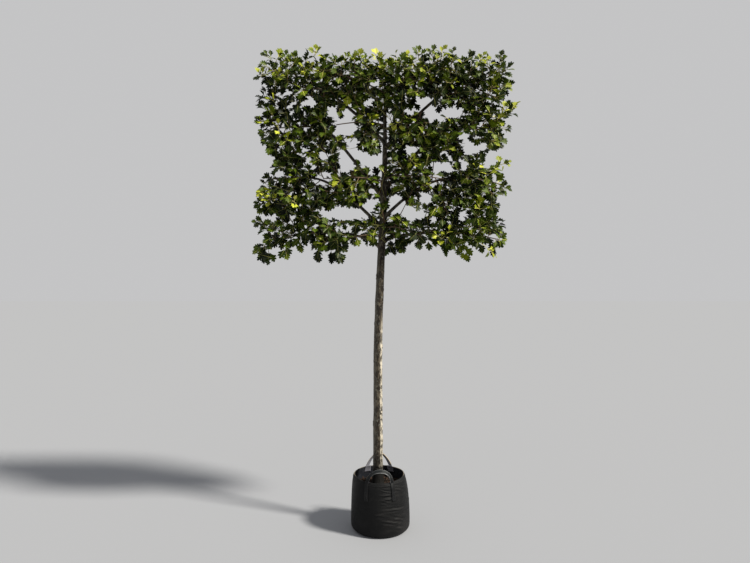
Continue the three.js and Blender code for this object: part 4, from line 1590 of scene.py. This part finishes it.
def young_shoots(draw):
    tips = [stands_at(x, z, YOUNG_DEPTH) for x, z in YOUNG_FRONT]
    ends = [(nearest_tip(tip), tip) for tip in tips]
    for path, radii, order in TWIGS:
        root = path[-1]
        free_side = root.y > YOUNG_BACK or sunniness(root) > YOUNG_SUN
        if not free_side or draw.uniform() > lerp(*YOUNG_SHARES, sunniness(root)):
            continue
        aside = draw.uniform(*YOUNG_ASIDE)
        up = draw.uniform(*YOUNG_UP)
        outward = Vector((aside, math.copysign(YOUNG_OUT, root.y), up))
        tip = root + outward.normalized() * draw.uniform(*YOUNG_LENGTH)
        if in_reach(tip + outward * SHOOT_LEAF) and not in_daylight(tip):
            ends.append((root, tip))
    return [[root.lerp(tip, i / TWIG_STEPS) for i in range(TWIG_STEPS + 1)] for root, tip in ends]


YOUNG = young_shoots(shoot_draw)
print("young shoots:", len(YOUNG))

# %% [markdown]
# ## The wood of the twigs
# Towards their tips twigs are as thin as a pencil's lead, so five sides are enough, and relief of bark
# wouldn't show. Their colour tells their age instead, from grey-brown stems to pale young shoots.
# Thousands of objects would slow Blender down, so all twigs are joined into one piece.

# %% Twigs as one piece
TWIG_COLOURS = {
    "twig_old": rgb(96, 80, 62),
    "twig_brown": rgb(86, 64, 48),
    "twig_green": rgb(116, 114, 64),
    "shoot_pale": rgb(206, 198, 130),
}
GREEN_WOOD = 2  # number of the finish of fine twigs and edge shoots
PALE_WOOD = 3  # number of the finish of young shoots
TWIG_ROUGHNESS = 0.75
TWIG_SIDES = 5


def plain_finish(name, colour, roughness, gloss=0.4):
    """One plain colour, for what is dealt out by spray."""
    return Finish(name, Base_Color=colour, Roughness=roughness, Specular_IOR_Level=gloss).material


def make_twigs():
    wood = Heap()
    kinds = [(path, radii, min(order, GREEN_WOOD)) for path, radii, order in TWIGS]
    kinds += [(path, SHOOT_RADII, GREEN_WOOD) for path in EDGE]
    kinds += [(path, SHOOT_RADII, PALE_WOOD) for path in YOUNG]
    for path, (foot, tip), colour in kinds:
        steps = len(path) - 1
        radii = [lerp(foot, tip, i / steps) for i in range(len(path))]
        wood.add(rings(path, radii, TWIG_SIDES), grid_faces(len(path), TWIG_SIDES), colour)
    finishes = [plain_finish(name, colour, TWIG_ROUGHNESS) for name, colour in TWIG_COLOURS.items()]
    wood.piece("twigs", "bark", finishes)


make_twigs()

# %% [markdown]
# ## Leaves
# Each leaf has a wedge-shaped base and three to five lobes that point forwards. It is folded a little
# along its midrib and its tip hangs. Such a leaf is drawn once by half its outline and mirrored, in a
# few forms. One leaf with a picture on it would be lighter, but from near by it would be a card. A real
# outline of a few faces stays a leaf from any side.

# %% Forms of leaf
LEAF_HALF = [
    (0.06, 0.12), (0.24, 0.36), (0.42, 0.46), (0.46, 0.62), (0.24, 0.60),
    (0.34, 0.71), (0.33, 0.87), (0.14, 0.80), (0.13, 0.94),
]
LEAF_RIB = [(0.0, 0.0), (0.0, 0.28), (0.0, 0.54), (0.0, 0.78), (0.0, 1.0)]
RIB_HALF = 0.022  # half the midrib's width at its foot, over the leaf's length
RIB_TAPER = 0.7  # how much narrower it is at its tip
RIB_LIFT = 0.008
CUPPED = 0.5  # how far the edges of a leaf turn down

# Triangles of half a leaf, between points of its rib (r) and of its half outline (h).
HALF_FACES = [
    ("r0", "h0", "r1"), ("h0", "h1", "r1"), ("h1", "r2", "r1"), ("h1", "h4", "r2"), ("h1", "h2", "h3"),
    ("h1", "h3", "h4"), ("h4", "h7", "r2"), ("h4", "h5", "h7"), ("h5", "h6", "h7"), ("h7", "r3", "r2"),
    ("h7", "h8", "r3"), ("h8", "r4", "r3"),
]


def bent(x, v, fold, droop, sway, lift=0.0):
    """A flat point of a leaf, across and along, once the leaf is folded, hangs and sways aside."""
    return (x + sway * v * v, v, fold * abs(x) - droop * v * v - CUPPED * x * x + lift)


def leaf_form(width, fold, droop, sway):
    """Points of one leaf of length 1 (across, along, up) and its triangles."""
    halves = [(x * width, v) for x, v in LEAF_HALF]
    flat = LEAF_RIB + halves + [(-x, v) for x, v in halves]
    points = [bent(x, v, fold, droop, sway) for x, v in flat]
    faces = []
    for mirrored in (False, True):
        first_half = len(LEAF_RIB) + (len(LEAF_HALF) if mirrored else 0)
        for corners in HALF_FACES:
            face = [int(c[1]) + (first_half if c[0] == "h" else 0) for c in corners]
            faces.append(tuple(reversed(face)) if mirrored else tuple(face))
    edges = []
    for _, v in LEAF_RIB:
        half = RIB_HALF * (1 - RIB_TAPER * v)
        edges += [bent(x, v, fold, droop, sway, RIB_LIFT) for x in (-half, half)]
    rib_faces = [(2 * i, 2 * i + 1, 2 * i + 3, 2 * i + 2) for i in range(len(LEAF_RIB) - 1)]
    return {"blade": (np.array(points), faces), "rib": (np.array(edges), rib_faces)}


LEAF_FORMS = [
    leaf_form(1.00, 0.45, 0.18, 0.00),
    leaf_form(0.90, 0.60, 0.30, 0.06),
    leaf_form(1.08, 0.35, 0.10, -0.05),
    leaf_form(0.82, 0.75, 0.05, -0.08),
    leaf_form(1.00, 0.30, 0.38, 0.08),
]
print("one blade:", len(LEAF_FORMS[0]["blade"][0]), "points", len(LEAF_FORMS[0]["blade"][1]), "triangles")

# %% [markdown]
# ## Sprays of leaves
# A spray is a rosette: the last leaves of a shoot, each turned 2.4 radians from the one below, the
# lower ones larger and more spread. Blades turn their upper side to the light and out of the panel's
# nearer face. Those of upright shoots, which stand free, turn to the sunny front, and those of the
# hanging fringe lie more in the panel's plane. A leaf that would hide daylight or the stem, or leave
# the crown's reach, isn't made. Colours are dealt out by spray, and part of them is painted light and
# shade: deep green inside and low down, darker inside the panel as painted shade, a little lighter in
# the crown's middle as painted light where the right half shades it, fresher and yellower towards the
# top and the sunny right edge, as young growth and as painted sunlight, a shade lighter on the shoots
# at the edges as a painted glow, and palest on the young shoots. A pattern over the whole crown would
# cut across the leaves.

# %% How a spray holds its leaves
HABITS = {
    "crown": {
        "leaves": (4, 8), "stretch": 0.028, "size": 1.00, "spread": (0.35, 1.25),
        "turned": {"up": 0.5, "out": 0.35, "sun": 0.3, "front": 0.0},
    },
    "upright": {
        "leaves": (6, 9), "stretch": 0.036, "size": 0.82, "spread": (0.30, 1.05),
        "turned": {"up": 0.2, "out": 0.0, "sun": 0.6, "front": 1.0},
    },
    "hanging": {
        "leaves": (4, 7), "stretch": 0.058, "size": 1.08, "spread": (0.25, 0.95),
        "turned": {"up": 0.5, "out": 1.00, "sun": 0.3, "front": 0.0},
    },
    "young": {
        "leaves": (5, 8), "stretch": 0.034, "size": 0.74, "spread": (0.35, 1.25),
        "turned": {"up": 0.5, "out": 0.35, "sun": 0.5, "front": 0.0},
    },
}
FRINGE = (1.66, 1.80)  # heights from the hanging fringe to where shoots stand
LEAF_SAG = 0.12
LEAF_TOSS = 0.25  # how far chance turns a blade
UP = Vector((0, 0, 1))


def hanging(point):
    """1 at the crown's underside, where shoots hang, and 0 higher up."""
    return 1 - smoothstep(point.z, *FRINGE)


def leaf_frame(place, axis, turn, spread, turned, draw):
    """Where a leaf points and where its upper side looks."""
    across = Quaternion(axis, turn) @ axis.orthogonal().normalized()
    along = axis * math.cos(spread) + across * math.sin(spread) - UP * LEAF_SAG
    along.normalize()
    outward = Vector((0, math.copysign(turned["out"], place.y) - turned["front"], 0))
    light = UP * turned["up"] + TO_SUN * turned["sun"]
    face = axis * turned["up"] + outward + light + Vector(draw.normal(0, LEAF_TOSS, 3))
    face -= along * face.dot(along)
    return along, face.normalized()


print("habits of a spray:", list(HABITS))

# %% Colours and sizes of leaves
LEAF_COLOURS = [
    rgb(18, 25, 5),
    rgb(29, 40, 7),
    rgb(43, 57, 9),
    rgb(61, 77, 11),
    rgb(84, 98, 16),
    rgb(112, 123, 24),
    rgb(139, 147, 36),
    rgb(166, 172, 56),
    rgb(190, 192, 88),
]
PALE_FROM = 4  # number of the first leaf colour whose stalk is pale
LEAF_LENGTH = 0.055
LEAF_AGES = (0.78, 1.08)  # length of a spray's youngest and oldest leaf, over that
LEAF_SIZES = (0.82, 1.12)
LEAF_HALF_WIDTH = 0.45  # over a leaf's length, where its lobes are widest
LEAF_MIDDLE = 0.6  # along a leaf, where it is tested against the daylight
LEAF_STRAY = 0.15  # radians
STALK_LENGTH = (0.008, 0.017)
STALK_RADIUS = 0.0009
STALK_SIDES = 3
SPRAY_OUT = 0.35  # how far a spray turns out of the panel's face
SPRAY_UP = 0.25
SPRAY_HANG = 0.75
SHADE_STRAY = 0.08
YOUNGEST_PALER = 0.06
print("greens:", len(LEAF_COLOURS))

# %% Leaves round a shoot
class Foliage:
    """Leaves of each tier and all leaf stalks, gathered spray by spray."""

    def __init__(self):
        self.tiers = [Heap() for tier in TIERS]
        self.stalks = Heap()
        self.count = 0

    def leaf(self, place, along, face, length, colour, draw):
        base = place + along * draw.uniform(*STALK_LENGTH)
        side = along.cross(face) * (LEAF_HALF_WIDTH * length)
        half_way = base + along * length * 0.5
        checked = [base + along * length, half_way + side, half_way - side]
        middle = base + along * length * LEAF_MIDDLE
        if not all(in_reach(point) for point in checked) or in_daylight(middle) or hides_stem(middle):
            return
        form = LEAF_FORMS[int(draw.integers(len(LEAF_FORMS)))]
        turn = np.array([along.cross(face), along, face]) * length
        tier = next(i for i, row in enumerate(TIERS) if base.z < row["ceiling"] or row is TIERS[-1])
        pale = int(colour >= PALE_FROM)
        for heap, part, finish in ((self.tiers[tier], "blade", colour), (self.stalks, "rib", pale)):
            points, faces = form[part]
            heap.add((points @ turn + np.array(base)).tolist(), faces, finish)
        stalk = rings([place, base], [STALK_RADIUS] * 2, STALK_SIDES)
        self.stalks.add(stalk, grid_faces(2, STALK_SIDES), pale)
        self.count += 1

    def spray(self, path, habit, warm_and_lit, draw):
        """Leaves round the last stretch of a shoot."""
        tip = path[-1]
        shoot = (tip - path[-2]).normalized()
        outward = Vector((0, math.copysign(SPRAY_OUT, tip.y), SPRAY_UP - SPRAY_HANG * hanging(tip)))
        axis = (shoot + outward).normalized()
        phase = draw.uniform(0, math.tau)
        count = int(draw.integers(*habit["leaves"]))
        for k in range(count):
            down = k / (count - 1)
            place = tip - shoot * (habit["stretch"] * down)
            spread = lerp(*habit["spread"], down) + draw.normal(0, LEAF_STRAY)
            along, face = leaf_frame(place, axis, phase + TWIG_TURN * k, spread, habit["turned"], draw)
            length = LEAF_LENGTH * habit["size"] * lerp(*LEAF_AGES, down) * draw.uniform(*LEAF_SIZES)
            step = warm_and_lit + draw.normal(0, SHADE_STRAY) + YOUNGEST_PALER * (1 - down)
            colour = min(int(max(0.0, step) * len(LEAF_COLOURS)), len(LEAF_COLOURS) - 1)
            self.leaf(place, along, face, length, colour, draw)


print("heaps of leaves:", len(Foliage().tiers))

# %% The crown, spray by spray
LEAF_SEED = 21
# Painted light and shade in the leaf colours: 'face' lightens the panel's faces, so its inside stays darker
# as painted shade; 'middle' lightens the crown's middle, which the right half shades; 'sun' is partly young
# growth and partly painted sunlight.
WARMTH_AND_LIGHT = {"least": 0.13, "sun": 0.19, "face": 0.13, "middle": 0.05, "stray": 0.13}
FACE_DEPTHS = (0.05, 0.15)  # from inside the panel, left darker as painted shade, to its faces
MIDDLE_SPAN = (0.15, 0.40)  # across, where the crown's middle, painted lighter against the right half's shadow, gives way to its sides
# Painted glow: leaves of the edge shoots are a shade lighter, as sunlit leaves seen from their shaded side.
EDGE_GLOW = 0.03
YOUNG_WARMTH = (0.66, 0.10)  # its mean and its spread


def warmth_and_light(point, draw):
    """How yellow and how lit a spray is painted, from 0 to 1: partly young growth, partly painted light and
    shade.
    """
    face = WARMTH_AND_LIGHT["face"] * smoothstep(abs(point.y), *FACE_DEPTHS)
    middle = WARMTH_AND_LIGHT["middle"] * (1 - smoothstep(abs(point.x), *MIDDLE_SPAN))
    stray = draw.normal(0, WARMTH_AND_LIGHT["stray"])
    return WARMTH_AND_LIGHT["least"] + WARMTH_AND_LIGHT["sun"] * sunniness(point) + face + middle + stray


def dress_crown():
    draw = np.random.default_rng(LEAF_SEED)
    foliage = Foliage()
    for path, radii, order in TWIGS:
        foliage.spray(path, HABITS["crown"], warmth_and_light(path[-1], draw), draw)
    for path in EDGE:
        habit = HABITS["hanging" if hanging(path[-1]) > 0.5 else "upright"]
        foliage.spray(path, habit, warmth_and_light(path[-1], draw) + EDGE_GLOW, draw)
    mean, spread = YOUNG_WARMTH
    for path in YOUNG:
        foliage.spray(path, HABITS["young"], mean + draw.normal(0, spread), draw)
    return foliage


FOLIAGE = dress_crown()
print("leaves:", FOLIAGE.count)

# %% [markdown]
# ## Leaf pieces
# The leaves are joined tier by tier, so that no piece grows too large, and each tier stands for its own
# foliage solids. Midribs and stalks are one piece of their own. Each green is a finish of one plain
# colour with a soft gloss: a pattern would fall anywhere on thousands of leaves that share one mesh,
# while the shades that are dealt out by spray stay where they belong.

# %% Leaves and stalks as pieces
LEAF_ROUGHNESS = 0.54
LEAF_GLOSS = 0.14
STALK_COLOURS = {"stalk_green": rgb(124, 122, 60), "stalk_pale": rgb(214, 202, 122)}
STALK_ROUGHNESS = 0.5


def make_leaves():
    greens = []
    for i, colour in enumerate(LEAF_COLOURS):
        greens.append(plain_finish(f"leaf_{i}", colour, LEAF_ROUGHNESS, LEAF_GLOSS))
    for tier, heap in zip(TIERS, FOLIAGE.tiers):
        masses = [f"foliage_{side}_{tier['name']}_{part}" for side in SIDES for part in PARTS]
        heap.piece(f"leaves_{tier['name']}", "foliage", greens, masses)
    stalks = [plain_finish(name, colour, STALK_ROUGHNESS) for name, colour in STALK_COLOURS.items()]
    FOLIAGE.stalks.piece("leaf_stalks", "foliage", stalks)


make_leaves()

# %% [markdown]
# ## Size
# The dressed plant must stay the size of its solids.
